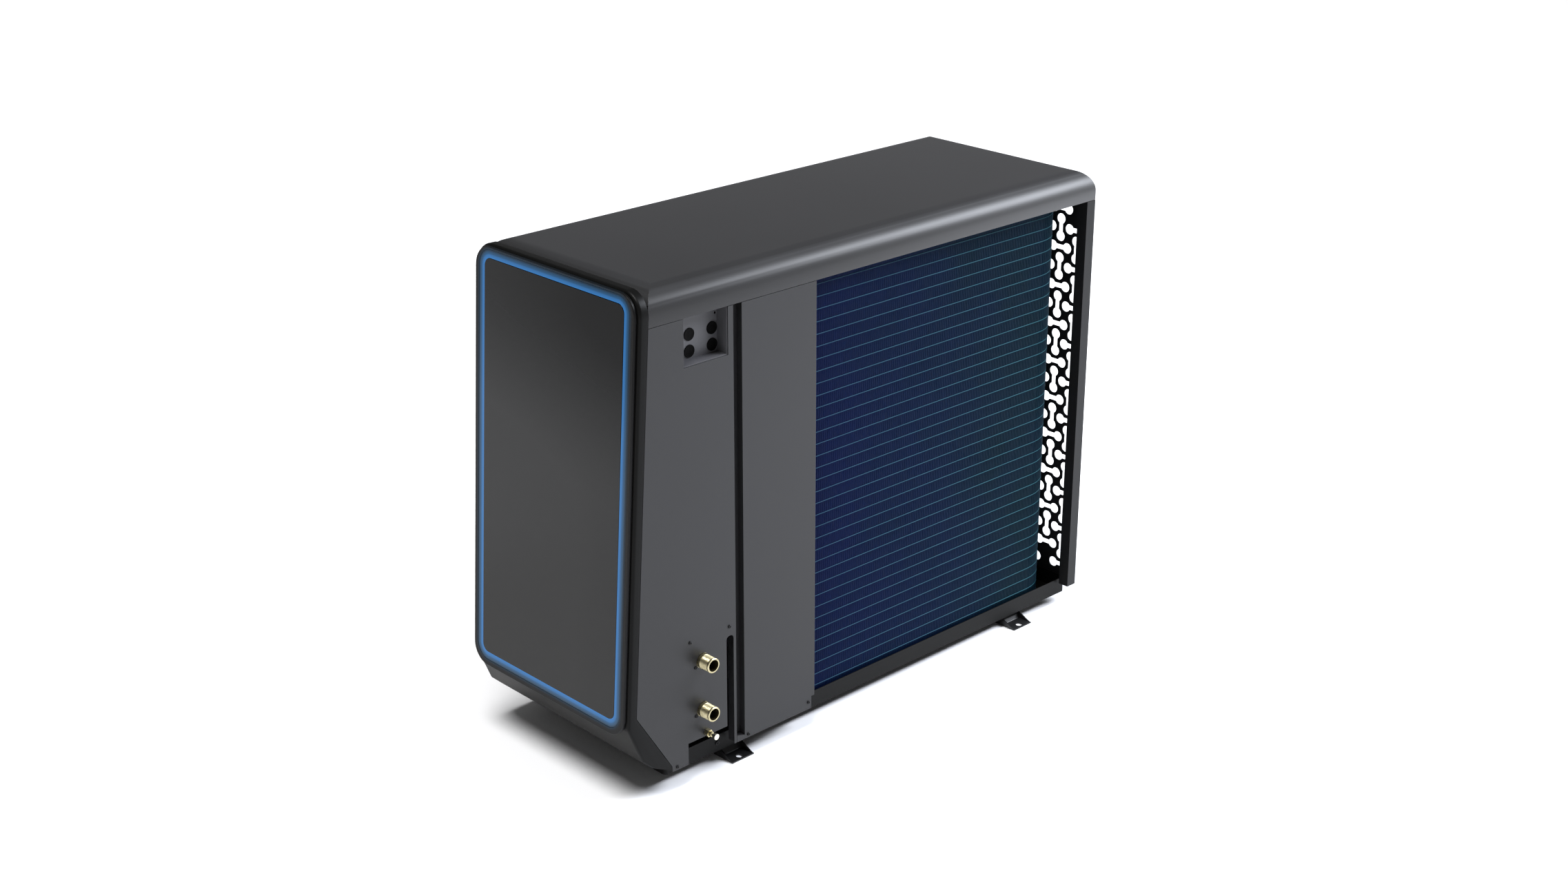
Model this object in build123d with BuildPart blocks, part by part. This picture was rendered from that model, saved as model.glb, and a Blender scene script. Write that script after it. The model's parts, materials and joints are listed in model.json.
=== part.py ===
"""Pool heat pump unit: cabinet, coil, fan, compressor, water exchanger and controls.

+X is the coil side, -Y the leaning front, +Z up. The floor is z = 0, and the origin is
the middle of the four foot bolts.
"""
import math
import os

from build123d import *

os.makedirs("parts", exist_ok=True)

# ------------------------------------------------------------- driving dimensions (mm)
unit_width = 420.0
unit_height = 882.0
rear_y = 522.0
corner_radius = 40.0
sheet = 1.5
shut_line = 0.6
skirt_depth = 56.5

recline = 3.84
face_floor_y = -635.7
plate_width = 406.0
plate_bottom_z = 133.0
plate_top_gap = 3.0
plate_radius = 36.0
plate_thickness = 6.0
glass_width = 357.0
glass_bottom_z = 158.5
glass_top_gap = 21.5
glass_radius = 15.0
ring_width = 14.0
ring_thickness = 3.0
fit = 0.2
seam_depth = 22.0
frame_wall = 3.0
knee_z = 166.0
chin_y = -529.0
chin_z = 49.0

panel_bottom_z = 38.0
service_right_y = -382.5
side_right_y = -197.5
groove_width = 18.5
groove_depth = 14.0
groove_bottom_z = 51.0
return_flange = 18.0
window_left_y = -487.0
window_right_y = -393.6
window_height = 80.9
cutout_left_y = -492.0
cutout_top_z = 78.0
slot_left_y = -404.0
slot_right_y = -388.0
slot_top_z = 247.0

inset = 25.0
tray_bottom_z = 19.5
tray_wall = 31.5
tray_front_y = -524.0
foot_spacing_x = 400.0
foot_spacing_y = 736.0
foot_hole_radius = 6.0
foot_width = 50.0
foot_sheet = 2.5

coil_inset = 31.0
coil_depth = 40.0
coil_radius = 80.0
coil_bottom_z = 24.0
row_pitch = 22.0
column_pitch = 19.0
tube_radius = 4.0
coil_front_y = -190.0
coil_end_x = -150.0

guard_bottom_z = 43.0
guard_flange = 22.6
guard_return = 22.0
bone_pitch = 38.0
bone_lobe_radius = 10.0
bone_half_length = 17.0
bone_waist = 9.5

fan_y = 145.0
fan_z = 432.0
fan_tip_radius = 240.0
fan_clearance = 8.0
grille_lap = 24.0
grille_screw_inset = 8.0
blade_count = 3
hub_radius = 62.0
shaft_radius = 6.0
running_fit = 0.05

nipple_y = -457.0
inlet_z = 131.0
outlet_z = 222.0
nipple_radius = 13.2
nipple_shank_radius = 12.6
nipple_bore_radius = 10.3
nipple_reach = 27.0
drain_y = -450.5
drain_z = 85.0

pipe_radius = 5.0

# ------------------------------------------------------------- derived places
half_width = unit_width / 2
skin_x = half_width - sheet
skirt_z = unit_height - skirt_depth
panel_top_z = skirt_z - shut_line
window_bottom_z = panel_top_z - window_height
plate_top_z = unit_height - plate_top_gap
glass_top_z = unit_height - glass_top_gap
lean = math.tan(math.radians(recline))
lean_cos = math.cos(math.radians(recline))
face = Plane(
    origin=(0, face_floor_y, 0),
    x_dir=(1, 0, 0),
    z_dir=(0, -lean_cos, math.sin(math.radians(recline))),
)
tray_x = half_width - inset
tray_rear_y = rear_y - sheet - 0.5
tray_floor_z = tray_bottom_z + sheet
coil_x = half_width - coil_inset
coil_rear_y = rear_y - coil_inset
row_count = int((panel_top_z - coil_bottom_z) // (2 * row_pitch)) * 2
coil_top_z = coil_bottom_z + row_pitch * row_count
partition_y = -216.0
partition_x = coil_x - coil_depth - 9.0
fan_panel_front_y = side_right_y + shut_line
fan_panel_rear_y = rear_y - guard_flange - shut_line
ring_inner_radius = fan_tip_radius + fan_clearance
grille_radius = ring_inner_radius + grille_lap
screw_circle = grille_radius - grille_screw_inset


def seam_y(z, offset=0.0):
    """Y of the shut line between the front frame and the side panels at height z."""
    return face_floor_y + seam_depth + z * lean + offset


def write_piece(piece, name):
    """Label one finished piece and write it as a STEP file."""
    piece.label = name
    export_step(piece, f"parts/{name}.step")


def seam_points(top_z, offset=0.0):
    """Front edge of a side panel: leaning line, knee and the diagonal to the chin."""
    return [
        (seam_y(top_z, offset), top_z),
        (seam_y(knee_z, offset), knee_z),
        (chin_y + offset, chin_z),
    ]


# ------------------------------------------------------------- base tray
drain_hole_x = 60.0
drain_hole_y = 300.0
spout_radius = 9.0
spout_neck_radius = 8.5
spout_end_z = 5.0
spout_neck_z = tray_bottom_z - 1.0
spout_wall = 2.0
compressor_x = -half_width / 3
compressor_y = -320.0
stud_circle = 78.0
stud_places = [(compressor_x + stud_circle * math.cos(math.radians(a)),
                compressor_y + stud_circle * math.sin(math.radians(a)))
               for a in (90, 210, 330)]
tray_screw_places = [(-477.0, 36.0), (-406.0, 36.0)]

with BuildPart() as base_tray:
    with BuildSketch(Plane.XY.offset(tray_bottom_z)):
        with Locations((0, (tray_front_y + tray_rear_y) / 2)):
            RectangleRounded(2 * tray_x, tray_rear_y - tray_front_y, 6)
    extrude(amount=tray_wall)
    with BuildSketch(Plane.XY.offset(tray_floor_z)):
        with Locations((0, (tray_front_y + tray_rear_y) / 2)):
            RectangleRounded(2 * (tray_x - sheet), tray_rear_y - tray_front_y - 2 * sheet, 4.5)
    extrude(amount=tray_wall, mode=Mode.SUBTRACT)
    with BuildSketch(Plane.XY.offset(tray_bottom_z)):
        with Locations((drain_hole_x, drain_hole_y)):
            Circle(spout_neck_radius + fit)
    extrude(amount=sheet, mode=Mode.SUBTRACT)
    with BuildSketch(Plane.YZ.offset(tray_x - sheet)):
        with Locations(*tray_screw_places):
            Circle(2.0 + fit)
    extrude(amount=sheet, mode=Mode.SUBTRACT)
write_piece(base_tray.part, "base_tray")

with BuildPart() as condensate_spout:
    with BuildSketch(Plane.XY.offset(spout_end_z)):
        with Locations((drain_hole_x, drain_hole_y)):
            Circle(spout_radius)
    extrude(amount=spout_neck_z - spout_end_z)
    with BuildSketch(Plane.XY.offset(spout_neck_z)):
        with Locations((drain_hole_x, drain_hole_y)):
            Circle(spout_neck_radius)
    extrude(amount=tray_floor_z - spout_neck_z)
    with BuildSketch(Plane.XY.offset(tray_floor_z)):
        with Locations((drain_hole_x, drain_hole_y)):
            Circle(spout_radius + 5)
    extrude(amount=spout_wall)
    with BuildSketch(Plane.XY.offset(spout_end_z)):
        with Locations((drain_hole_x, drain_hole_y)):
            Circle(spout_neck_radius - spout_wall)
    extrude(amount=tray_floor_z + spout_wall - spout_end_z, mode=Mode.SUBTRACT)
write_piece(condensate_spout.part, "condensate_spout")


# ------------------------------------------------------------- foot rails
def foot_rail(y):
    """Pressed rail across the base: raised middle, flat bolt tabs, folded side walls."""
    tab_x = foot_spacing_x / 2 - 20
    with BuildPart() as rail:
        with BuildSketch(Plane.XZ.offset(-y - foot_width / 2)):
            Polygon(
                (-half_width, 0), (-tab_x, 0), (-tab_x + 12, tray_bottom_z - foot_sheet),
                (tab_x - 12, tray_bottom_z - foot_sheet), (tab_x, 0), (half_width, 0),
                (half_width, foot_sheet), (tab_x + 1, foot_sheet), (tab_x - 11, tray_bottom_z),
                (-tab_x + 11, tray_bottom_z), (-tab_x - 1, foot_sheet), (-half_width, foot_sheet),
                align=None,
            )
        extrude(amount=foot_width)
        for edge_y in (y - foot_width / 2, y + foot_width / 2 - foot_sheet):
            with BuildSketch(Plane.XZ.offset(-edge_y - foot_sheet)):
                Polygon(
                    (-half_width + 4, 0), (half_width - 4, 0), (half_width - 4, foot_sheet),
                    (tab_x - 11, tray_bottom_z), (-tab_x + 11, tray_bottom_z),
                    (-half_width + 4, foot_sheet), align=None,
                )
            extrude(amount=foot_sheet)
        with BuildSketch(Plane.XY):
            with Locations((0, y)):
                with GridLocations(foot_spacing_x, 1, 2, 1):
                    Circle(foot_hole_radius)
        extrude(amount=foot_sheet, mode=Mode.SUBTRACT)
    return rail.part


write_piece(foot_rail(-foot_spacing_y / 2), "front_foot_rail")
write_piece(foot_rail(foot_spacing_y / 2), "rear_foot_rail")

# ------------------------------------------------------------- top cover
with BuildPart() as top_cover:
    with BuildSketch(Plane.XZ.offset(-rear_y)):
        with Locations((0, unit_height - 60)):
            RectangleRounded(unit_width, 120, corner_radius)
        with Locations((0, skirt_z - 60)):
            Rectangle(unit_width + 2, 120, mode=Mode.SUBTRACT)
    extrude(amount=rear_y - seam_y(0) + 10)
    with BuildSketch(Plane.XZ.offset(-rear_y + sheet)):
        with Locations((0, unit_height - 60)):
            RectangleRounded(unit_width - 2 * sheet, 120 - 2 * sheet, corner_radius - sheet)
        with Locations((0, skirt_z - 62)):
            Rectangle(unit_width - 2 * sheet, 64)
    extrude(amount=rear_y - seam_y(0) + 20, mode=Mode.SUBTRACT)
    split(bisect_by=face.offset(-(seam_depth + shut_line) * lean_cos), keep=Keep.BOTTOM)
write_piece(top_cover.part, "top_cover")

# ------------------------------------------------------------- front frame
front_y = face_floor_y + plate_thickness / lean_cos
frame_outline = [
    (front_y + 150 * lean, 150.0), (-591.0, 81.0), (-572.0, 63.0), (chin_y - 0.5, chin_z - 7),
]
chin_point = (chin_y - 0.5, chin_z)

with BuildPart() as frame_cavity:
    with BuildSketch(Plane.YZ):
        Polygon(
            (front_y + unit_height * lean + frame_wall, unit_height),
            *[(y + frame_wall, z + 2) for y, z in frame_outline],
            (chin_y + 60, chin_z - 5), (chin_y + 60, unit_height), align=None,
        )
    extrude(amount=half_width - frame_wall, both=True)
    with BuildSketch(Plane.XZ.offset(300)):
        with Locations((0, (unit_height - frame_wall) / 2)):
            RectangleRounded(unit_width - 2 * frame_wall, unit_height - frame_wall,
                             corner_radius - frame_wall)
        with Locations((0, 30)):
            Rectangle(unit_width - 2 * frame_wall, 60)
    extrude(amount=500, mode=Mode.INTERSECT)

with BuildPart() as front_frame:
    with BuildSketch(Plane.YZ):
        Polygon(
            (front_y + unit_height * lean, unit_height), *frame_outline, chin_point,
            (seam_y(knee_z), knee_z), (seam_y(unit_height), unit_height), align=None,
        )
    extrude(amount=half_width, both=True)
    with BuildSketch(Plane.XZ.offset(300)):
        with Locations((0, unit_height / 2)):
            RectangleRounded(unit_width, unit_height, corner_radius)
        with Locations((0, 30)):
            Rectangle(unit_width, 60)
    extrude(amount=500, mode=Mode.INTERSECT)
    add(frame_cavity.part, mode=Mode.SUBTRACT)
    with BuildSketch(face.offset(-plate_thickness - 2 * frame_wall)):
        with Locations((0, (glass_bottom_z + glass_top_z) / 2 / lean_cos)):
            RectangleRounded(glass_width - 50, (glass_top_z - glass_bottom_z) - 50, 12)
    extrude(amount=3 * frame_wall, mode=Mode.SUBTRACT)
write_piece(front_frame.part, "front_frame")

# ------------------------------------------------------------- front plate, glass and light
plate_mid = (plate_bottom_z + plate_top_z) / 2 / lean_cos
plate_height = (plate_top_z - plate_bottom_z) / lean_cos
glass_mid = (glass_bottom_z + glass_top_z) / 2 / lean_cos
glass_height = (glass_top_z - glass_bottom_z) / lean_cos
ring_radius = glass_radius + ring_width

with BuildPart() as front_plate:
    with BuildSketch(face.offset(-plate_thickness)):
        with Locations((0, plate_mid)):
            RectangleRounded(plate_width, plate_height, plate_radius)
        with Locations((0, glass_mid)):
            RectangleRounded(glass_width + 2 * (ring_width + fit),
                             glass_height + 2 * (ring_width + fit), ring_radius + fit,
                             mode=Mode.SUBTRACT)
    extrude(amount=plate_thickness)
write_piece(front_plate.part, "front_plate")

with BuildPart() as light_ring:
    with BuildSketch(face.offset(-ring_thickness - 0.5)):
        with Locations((0, glass_mid)):
            RectangleRounded(glass_width + 2 * ring_width, glass_height + 2 * ring_width,
                             ring_radius)
            RectangleRounded(glass_width + 2 * fit, glass_height + 2 * fit, glass_radius + fit,
                             mode=Mode.SUBTRACT)
    extrude(amount=ring_thickness)
write_piece(light_ring.part, "light_ring")

with BuildPart() as light_strip:
    with BuildSketch(face.offset(-plate_thickness)):
        with Locations((0, glass_mid)):
            RectangleRounded(glass_width + 2 * ring_width - 4, glass_height + 2 * ring_width - 4,
                             ring_radius - 2)
            RectangleRounded(glass_width + 6, glass_height + 6, glass_radius + 3,
                             mode=Mode.SUBTRACT)
    extrude(amount=plate_thickness - ring_thickness - 0.5)
write_piece(light_strip.part, "light_strip")

with BuildPart() as front_glass:
    with BuildSketch(face.offset(-plate_thickness)):
        with Locations((0, glass_mid)):
            RectangleRounded(glass_width, glass_height, glass_radius)
    extrude(amount=plate_thickness)
write_piece(front_glass.part, "front_glass")

# ------------------------------------------------------------- service panel
chin_floor_y = -528.0
nipple_hole = nipple_radius + 0.5
drain_body_radius = 4.0
small_hole_radius = 1.6
service_screw_places = [
    (-484.5, 264.0), (-397.0, 264.0), (-473.5, 214.0), (-473.5, 123.0), (-517.0, 44.0),
]

with BuildPart() as service_panel:
    with BuildSketch(Plane.YZ.offset(skin_x)):
        Polygon(
            *seam_points(panel_top_z, 0.8), (chin_floor_y + 0.8, panel_bottom_z),
            (cutout_left_y, panel_bottom_z), (cutout_left_y, cutout_top_z),
            (slot_left_y, cutout_top_z), (slot_left_y, slot_top_z), (slot_right_y, slot_top_z),
            (slot_right_y, panel_bottom_z), (service_right_y, panel_bottom_z),
            (service_right_y, panel_top_z), (window_right_y, panel_top_z),
            (window_right_y, window_bottom_z), (window_left_y, window_bottom_z),
            (window_left_y, panel_top_z), align=None,
        )
        with Locations((nipple_y, inlet_z), (nipple_y, outlet_z)):
            Circle(nipple_hole, mode=Mode.SUBTRACT)
        with Locations((drain_y, drain_z)):
            Circle(drain_body_radius + 0.4, mode=Mode.SUBTRACT)
        with Locations(*service_screw_places):
            Circle(small_hole_radius + fit, mode=Mode.SUBTRACT)
    extrude(amount=sheet)
    with Locations((skin_x - return_flange / 2, service_right_y - sheet / 2,
                    (panel_bottom_z + panel_top_z) / 2)):
        Box(return_flange, sheet, panel_top_z - panel_bottom_z)
write_piece(service_panel.part, "service_panel")

# ------------------------------------------------------------- side panel with its groove
groove_left_y = service_right_y + shut_line
groove_right_y = service_right_y + groove_width
groove_end_z = groove_bottom_z - 5.0
side_corner_y = side_right_y - 7.5
notch_z = 62.0
side_screw_places = [(-355.5, 44.0), (-212.0, 52.0)]

with BuildPart() as side_panel:
    with BuildSketch(Plane.YZ.offset(skin_x)):
        Polygon(
            (groove_left_y, panel_bottom_z), (side_corner_y, panel_bottom_z),
            (side_corner_y, notch_z), (side_right_y, notch_z), (side_right_y, panel_top_z),
            (groove_right_y, panel_top_z), (groove_right_y, groove_end_z),
            (groove_left_y, groove_bottom_z), align=None,
        )
        with Locations(*side_screw_places):
            Circle(small_hole_radius + fit, mode=Mode.SUBTRACT)
    extrude(amount=sheet)
    with BuildSketch(Plane.YZ.offset(half_width - groove_depth)):
        Polygon(
            (groove_left_y, groove_bottom_z), (groove_right_y, groove_end_z),
            (groove_right_y, panel_top_z), (groove_left_y, panel_top_z), align=None,
        )
    extrude(amount=sheet)
    with BuildSketch(Plane.YZ.offset(half_width - groove_depth)):
        with Locations((groove_right_y + sheet / 2, (panel_top_z + groove_end_z - sheet) / 2)):
            Rectangle(sheet, panel_top_z - groove_end_z + sheet)
        Polygon(
            (groove_left_y, groove_bottom_z - sheet), (groove_right_y, groove_end_z - sheet),
            (groove_right_y, groove_end_z), (groove_left_y, groove_bottom_z), align=None,
        )
    extrude(amount=groove_depth)
    with Locations((skin_x - return_flange / 2, side_right_y - sheet / 2,
                    (notch_z + panel_top_z) / 2)):
        Box(return_flange, sheet, panel_top_z - notch_z)
write_piece(side_panel.part, "side_panel")

# ------------------------------------------------------------- cable plate and grommets
cable_places = [(y, unit_height - drop) for y in (-454.3, -406.2) for drop in (95.3, 123.2)]
grommet_radius = 10.6
grommet_step = 1.5
earth_hole_place = (-398.7, unit_height - 72.0)
plate_left_y = window_left_y - 20.0
plate_mid_y = (plate_left_y + window_right_y) / 2
plate_span = window_right_y - plate_left_y
window_mid_z = (window_bottom_z + panel_top_z) / 2

with BuildPart() as cable_plate:
    with BuildSketch(Plane.YZ.offset(tray_x - sheet)):
        with Locations((plate_mid_y, window_mid_z)):
            Rectangle(plate_span, window_height)
        with Locations(*cable_places):
            Circle(grommet_radius - grommet_step, mode=Mode.SUBTRACT)
        with Locations(earth_hole_place):
            Circle(2.0, mode=Mode.SUBTRACT)
    extrude(amount=sheet)
    with BuildSketch(Plane.YZ.offset(tray_x)):
        with Locations((window_right_y - sheet / 2, window_mid_z)):
            Rectangle(sheet, window_height)
        with Locations((plate_mid_y, window_bottom_z + sheet / 2)):
            Rectangle(plate_span, sheet)
    extrude(amount=skin_x - fit - tray_x)
write_piece(cable_plate.part, "cable_plate")

with BuildPart() as cable_grommets:
    with BuildSketch(Plane.YZ.offset(tray_x - sheet - 2)):
        with Locations(*cable_places):
            Circle(grommet_radius - grommet_step - fit)
    extrude(amount=sheet + 2)
    with BuildSketch(Plane.YZ.offset(tray_x)):
        with Locations(*cable_places):
            Circle(grommet_radius)
    extrude(amount=1.6)
write_piece(cable_grommets.part, "cable_grommets")

# ------------------------------------------------------------- left panels and fan panel
with BuildPart() as left_panel:
    with BuildSketch(Plane.YZ.offset(-half_width)):
        Polygon(
            *seam_points(panel_top_z, 0.8), (chin_floor_y + 0.8, panel_bottom_z),
            (side_right_y, panel_bottom_z), (side_right_y, panel_top_z), align=None,
        )
    extrude(amount=sheet)
    with Locations((-skin_x + inset / 2 - sheet / 2, (side_right_y + tray_front_y + 20) / 2,
                    panel_bottom_z + sheet / 2)):
        Box(inset - sheet, side_right_y - tray_front_y - 20, sheet)
write_piece(left_panel.part, "left_panel")

fan_panel_mid_y = (fan_panel_front_y + fan_panel_rear_y) / 2
grille_screw_places = [(fan_y + screw_circle * math.cos(math.radians(a)),
                        fan_z + screw_circle * math.sin(math.radians(a)))
                       for a in range(30, 360, 60)]

with BuildPart() as fan_panel:
    with BuildSketch(Plane.YZ.offset(-half_width)):
        with Locations((fan_panel_mid_y, (panel_bottom_z + panel_top_z) / 2)):
            Rectangle(fan_panel_rear_y - fan_panel_front_y, panel_top_z - panel_bottom_z)
        with Locations((fan_y, fan_z)):
            Circle(ring_inner_radius, mode=Mode.SUBTRACT)
        with Locations(*grille_screw_places):
            Circle(2.0 + fit, mode=Mode.SUBTRACT)
    extrude(amount=sheet)
    with Locations((-skin_x + inset / 2 - sheet / 2, fan_panel_mid_y, panel_bottom_z + sheet / 2)):
        Box(inset - sheet, fan_panel_rear_y - fan_panel_front_y - 20, sheet)
write_piece(fan_panel.part, "fan_panel")

# ------------------------------------------------------------- bone-shaped perforations
with BuildSketch() as upright_bone:
    with Locations((0, bone_half_length), (0, -bone_half_length)):
        Circle(bone_lobe_radius)
    Rectangle(bone_waist, 2 * bone_half_length)


def bone_places(low_u, high_u, low_v, high_v, keep):
    """Middles of the bones on a square grid: upright and lying ones take turns."""
    upright, lying = [], []
    columns = int((high_u - low_u) // bone_pitch)
    rows = int((high_v - low_v) // bone_pitch)
    first_u = (low_u + high_u) / 2 - (columns - 1) * bone_pitch / 2
    first_v = (low_v + high_v) / 2 - (rows - 1) * bone_pitch / 2
    for i in range(columns):
        for j in range(rows):
            u, v = first_u + i * bone_pitch, first_v + j * bone_pitch
            if keep(u, v):
                (upright if (i + j) % 2 else lying).append((u, v))
    return upright, lying


# ------------------------------------------------------------- rear guard
bone_reach = bone_half_length + bone_lobe_radius
bones_up, bones_flat = bone_places(
    -skin_x + 6, skin_x - 6, guard_bottom_z + 6, panel_top_z - 6, lambda u, v: True)
bones_flat = [(u, v) for u, v in bones_flat if abs(u) < skin_x - bone_reach - 4]
bones_up = [(u, v) for u, v in bones_up
            if guard_bottom_z + bone_reach + 4 < v < panel_top_z - bone_reach - 4]
return_y = rear_y - guard_flange

with BuildPart() as rear_guard:
    with BuildSketch(Plane.XY.offset(guard_bottom_z)):
        with Locations((0, (rear_y + return_y) / 2)):
            Rectangle(unit_width, guard_flange)
            Rectangle(unit_width - 2 * sheet, guard_flange - 2 * sheet, mode=Mode.SUBTRACT)
        with Locations((0, return_y + sheet / 2)):
            Rectangle(unit_width - 2 * guard_return, sheet, mode=Mode.SUBTRACT)
    extrude(amount=panel_top_z - guard_bottom_z)
    with BuildSketch(Plane.XZ.offset(-rear_y)):
        with Locations(*[(-u, v) for u, v in bones_up]):
            add(upright_bone.sketch)
        with Locations(*[Location((-u, v, 0), (0, 0, 90)) for u, v in bones_flat]):
            add(upright_bone.sketch)
    extrude(amount=sheet, mode=Mode.SUBTRACT)
write_piece(rear_guard.part, "rear_guard")

# ------------------------------------------------------------- fan grille
bones_up, bones_flat = bone_places(
    fan_y - grille_radius, fan_y + grille_radius, fan_z - grille_radius, fan_z + grille_radius,
    lambda u, v: math.hypot(u - fan_y, v - fan_z) < ring_inner_radius - bone_reach)

with BuildPart() as fan_grille:
    with BuildSketch(Plane.YZ.offset(-half_width - sheet)):
        with Locations((fan_y, fan_z)):
            Circle(grille_radius)
        with Locations(*grille_screw_places):
            Circle(2.0 + fit, mode=Mode.SUBTRACT)
        with Locations(*bones_up):
            add(upright_bone.sketch, mode=Mode.SUBTRACT)
        with Locations(*[Location((u, v, 0), (0, 0, 90)) for u, v in bones_flat]):
            add(upright_bone.sketch, mode=Mode.SUBTRACT)
    extrude(amount=sheet)
write_piece(fan_grille.part, "fan_grille")


# ------------------------------------------------------------- screws
def screw_group(places, head_x, direction, shank, head_radius, length):
    """Pan-head screws along X: the head seats on head_x and the shank runs inwards."""
    with BuildPart() as group:
        with BuildSketch(Plane.YZ.offset(head_x)):
            with Locations(*places):
                Circle(head_radius)
        extrude(amount=direction * 2.0)
        with BuildSketch(Plane.YZ.offset(head_x)):
            with Locations(*places):
                Circle(shank)
        extrude(amount=-direction * length)
    return group.part


with BuildPart() as cabinet_screws:
    panel_screw_places = service_screw_places + side_screw_places
    add(screw_group(panel_screw_places, half_width, 1, small_hole_radius, 3.0, 9))
    add(screw_group(tray_screw_places, tray_x, 1, 2.0, 4.0, 9))
    add(screw_group(grille_screw_places, -half_width - sheet, -1, 2.0, 4.0, 9))
write_piece(cabinet_screws.part, "cabinet_screws")

# ------------------------------------------------------------- partition
partition_top_z = unit_height - sheet - 3.5

with BuildPart() as partition:
    with Locations(((partition_x - tray_x + sheet) / 2, partition_y + sheet / 2,
                    (tray_floor_z + partition_top_z) / 2)):
        Box(partition_x + tray_x - sheet - 2 * fit, sheet, partition_top_z - tray_floor_z)
write_piece(partition.part, "partition")

# ------------------------------------------------------------- evaporator
with BuildPart() as evaporator_fins:
    with BuildSketch(Plane.XY.offset(coil_bottom_z)):
        with BuildLine():
            inner_x = coil_x - coil_depth
            inner_y = coil_rear_y - coil_depth
            inner_radius = coil_radius - coil_depth
            FilletPolyline(
                (inner_x, coil_front_y), (inner_x, inner_y), (coil_end_x, inner_y),
                radius=inner_radius)
            Line((coil_end_x, inner_y), (coil_end_x, coil_rear_y))
            FilletPolyline(
                (coil_end_x, coil_rear_y), (coil_x, coil_rear_y), (coil_x, coil_front_y),
                radius=coil_radius)
            Line((coil_x, coil_front_y), (inner_x, coil_front_y))
        make_face()
    extrude(amount=coil_top_z - coil_bottom_z)
write_piece(evaporator_fins.part, "evaporator_fins")

plate_margin = 2.0
coil_mid_z = (coil_top_z + tray_floor_z) / 2
coil_plate_height = coil_top_z - tray_floor_z + 2
coil_mid_x = coil_x - coil_depth / 2
coil_mid_y = coil_rear_y - coil_depth / 2

with BuildPart() as coil_end_plates:
    with Locations((coil_mid_x, coil_front_y - sheet / 2, coil_mid_z + 1)):
        Box(coil_depth + 2 * plate_margin, sheet, coil_plate_height)
    with Locations((coil_end_x - sheet / 2, coil_mid_y, coil_mid_z + 1)):
        Box(sheet, coil_depth + 2 * plate_margin, coil_plate_height)
write_piece(coil_end_plates.part, "coil_end_plates")

first_row_z = coil_bottom_z + row_pitch / 2
gas_row = 16
liquid_row = gas_row + 1
column_offsets = (-column_pitch / 2, column_pitch / 2)
bend_rows = range(0, row_count, 2)
port_x = coil_mid_x + column_offsets[0]


def bend_mid(row):
    """Height of the middle of the return bend that joins this row to the next."""
    return first_row_z + (row + 0.5) * row_pitch


with BuildPart() as coil_bends:
    for offset in column_offsets:
        for row in bend_rows:
            if row == gas_row and offset == column_offsets[0]:
                continue
            z = bend_mid(row)
            with BuildSketch(Plane(origin=(coil_mid_x + offset, coil_front_y - sheet, z),
                                   x_dir=(0, 0, 1), z_dir=(0, -1, 0))):
                with Locations((row_pitch / 2, 0)):
                    Circle(tube_radius)
            revolve(axis=Axis((coil_mid_x + offset, coil_front_y - sheet, z), (1, 0, 0)),
                    revolution_arc=180)
            with BuildSketch(Plane(origin=(coil_end_x - sheet, coil_mid_y + offset, z),
                                   x_dir=(0, 0, 1), z_dir=(-1, 0, 0))):
                with Locations((row_pitch / 2, 0)):
                    Circle(tube_radius)
            revolve(axis=Axis((coil_end_x - sheet, coil_mid_y + offset, z), (0, -1, 0)),
                    revolution_arc=180)
write_piece(coil_bends.part, "coil_bends")

# ------------------------------------------------------------- fan ring, motor and rotor
ring_length = 62.0
ring_wall = 3.0
fan_axis = Plane(origin=(-skin_x, fan_y, fan_z), x_dir=(0, 1, 0), z_dir=(1, 0, 0))

with BuildPart() as fan_ring:
    with BuildSketch(fan_axis):
        Circle(grille_radius - 4)
        Circle(ring_inner_radius, mode=Mode.SUBTRACT)
        with Locations(*[(y - fan_y, z - fan_z) for y, z in grille_screw_places]):
            Circle(2.0 + fit, mode=Mode.SUBTRACT)
    extrude(amount=ring_wall)
    with BuildSketch(fan_axis):
        Circle(ring_inner_radius + ring_wall)
        Circle(ring_inner_radius, mode=Mode.SUBTRACT)
    extrude(amount=ring_length)
write_piece(fan_ring.part, "fan_ring")

hub_front = 14.0
hub_length = 66.0
blade_mid = hub_front + 30.0
blade_thickness = 4.0
shaft_start = hub_front + 6.0
motor_front = 104.0
motor_length = 78.0
motor_radius = 55.0
shaft_end = motor_front + 50.0


def blade_section(radius, chord, pitch):
    """Plane and size of one blade section, square to the blade's own radius."""
    place = Plane(origin=fan_axis.offset(blade_mid).from_local_coords((0, radius, 0)),
                  x_dir=(math.sin(math.radians(pitch)), math.cos(math.radians(pitch)), 0),
                  z_dir=(0, 0, 1))
    return place, chord


blade_stations = [(hub_radius - 14, 84, 36), (150, 150, 29), (fan_tip_radius + 14, 196, 22)]

with BuildPart() as single_blade:
    for radius, chord, pitch in blade_stations:
        section, width = blade_section(radius, chord, pitch)
        with BuildSketch(section):
            RectangleRounded(width, blade_thickness, 1.8)
    loft()
    with BuildSketch(fan_axis.offset(-20)):
        Circle(fan_tip_radius)
    extrude(amount=150, mode=Mode.INTERSECT)

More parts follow.
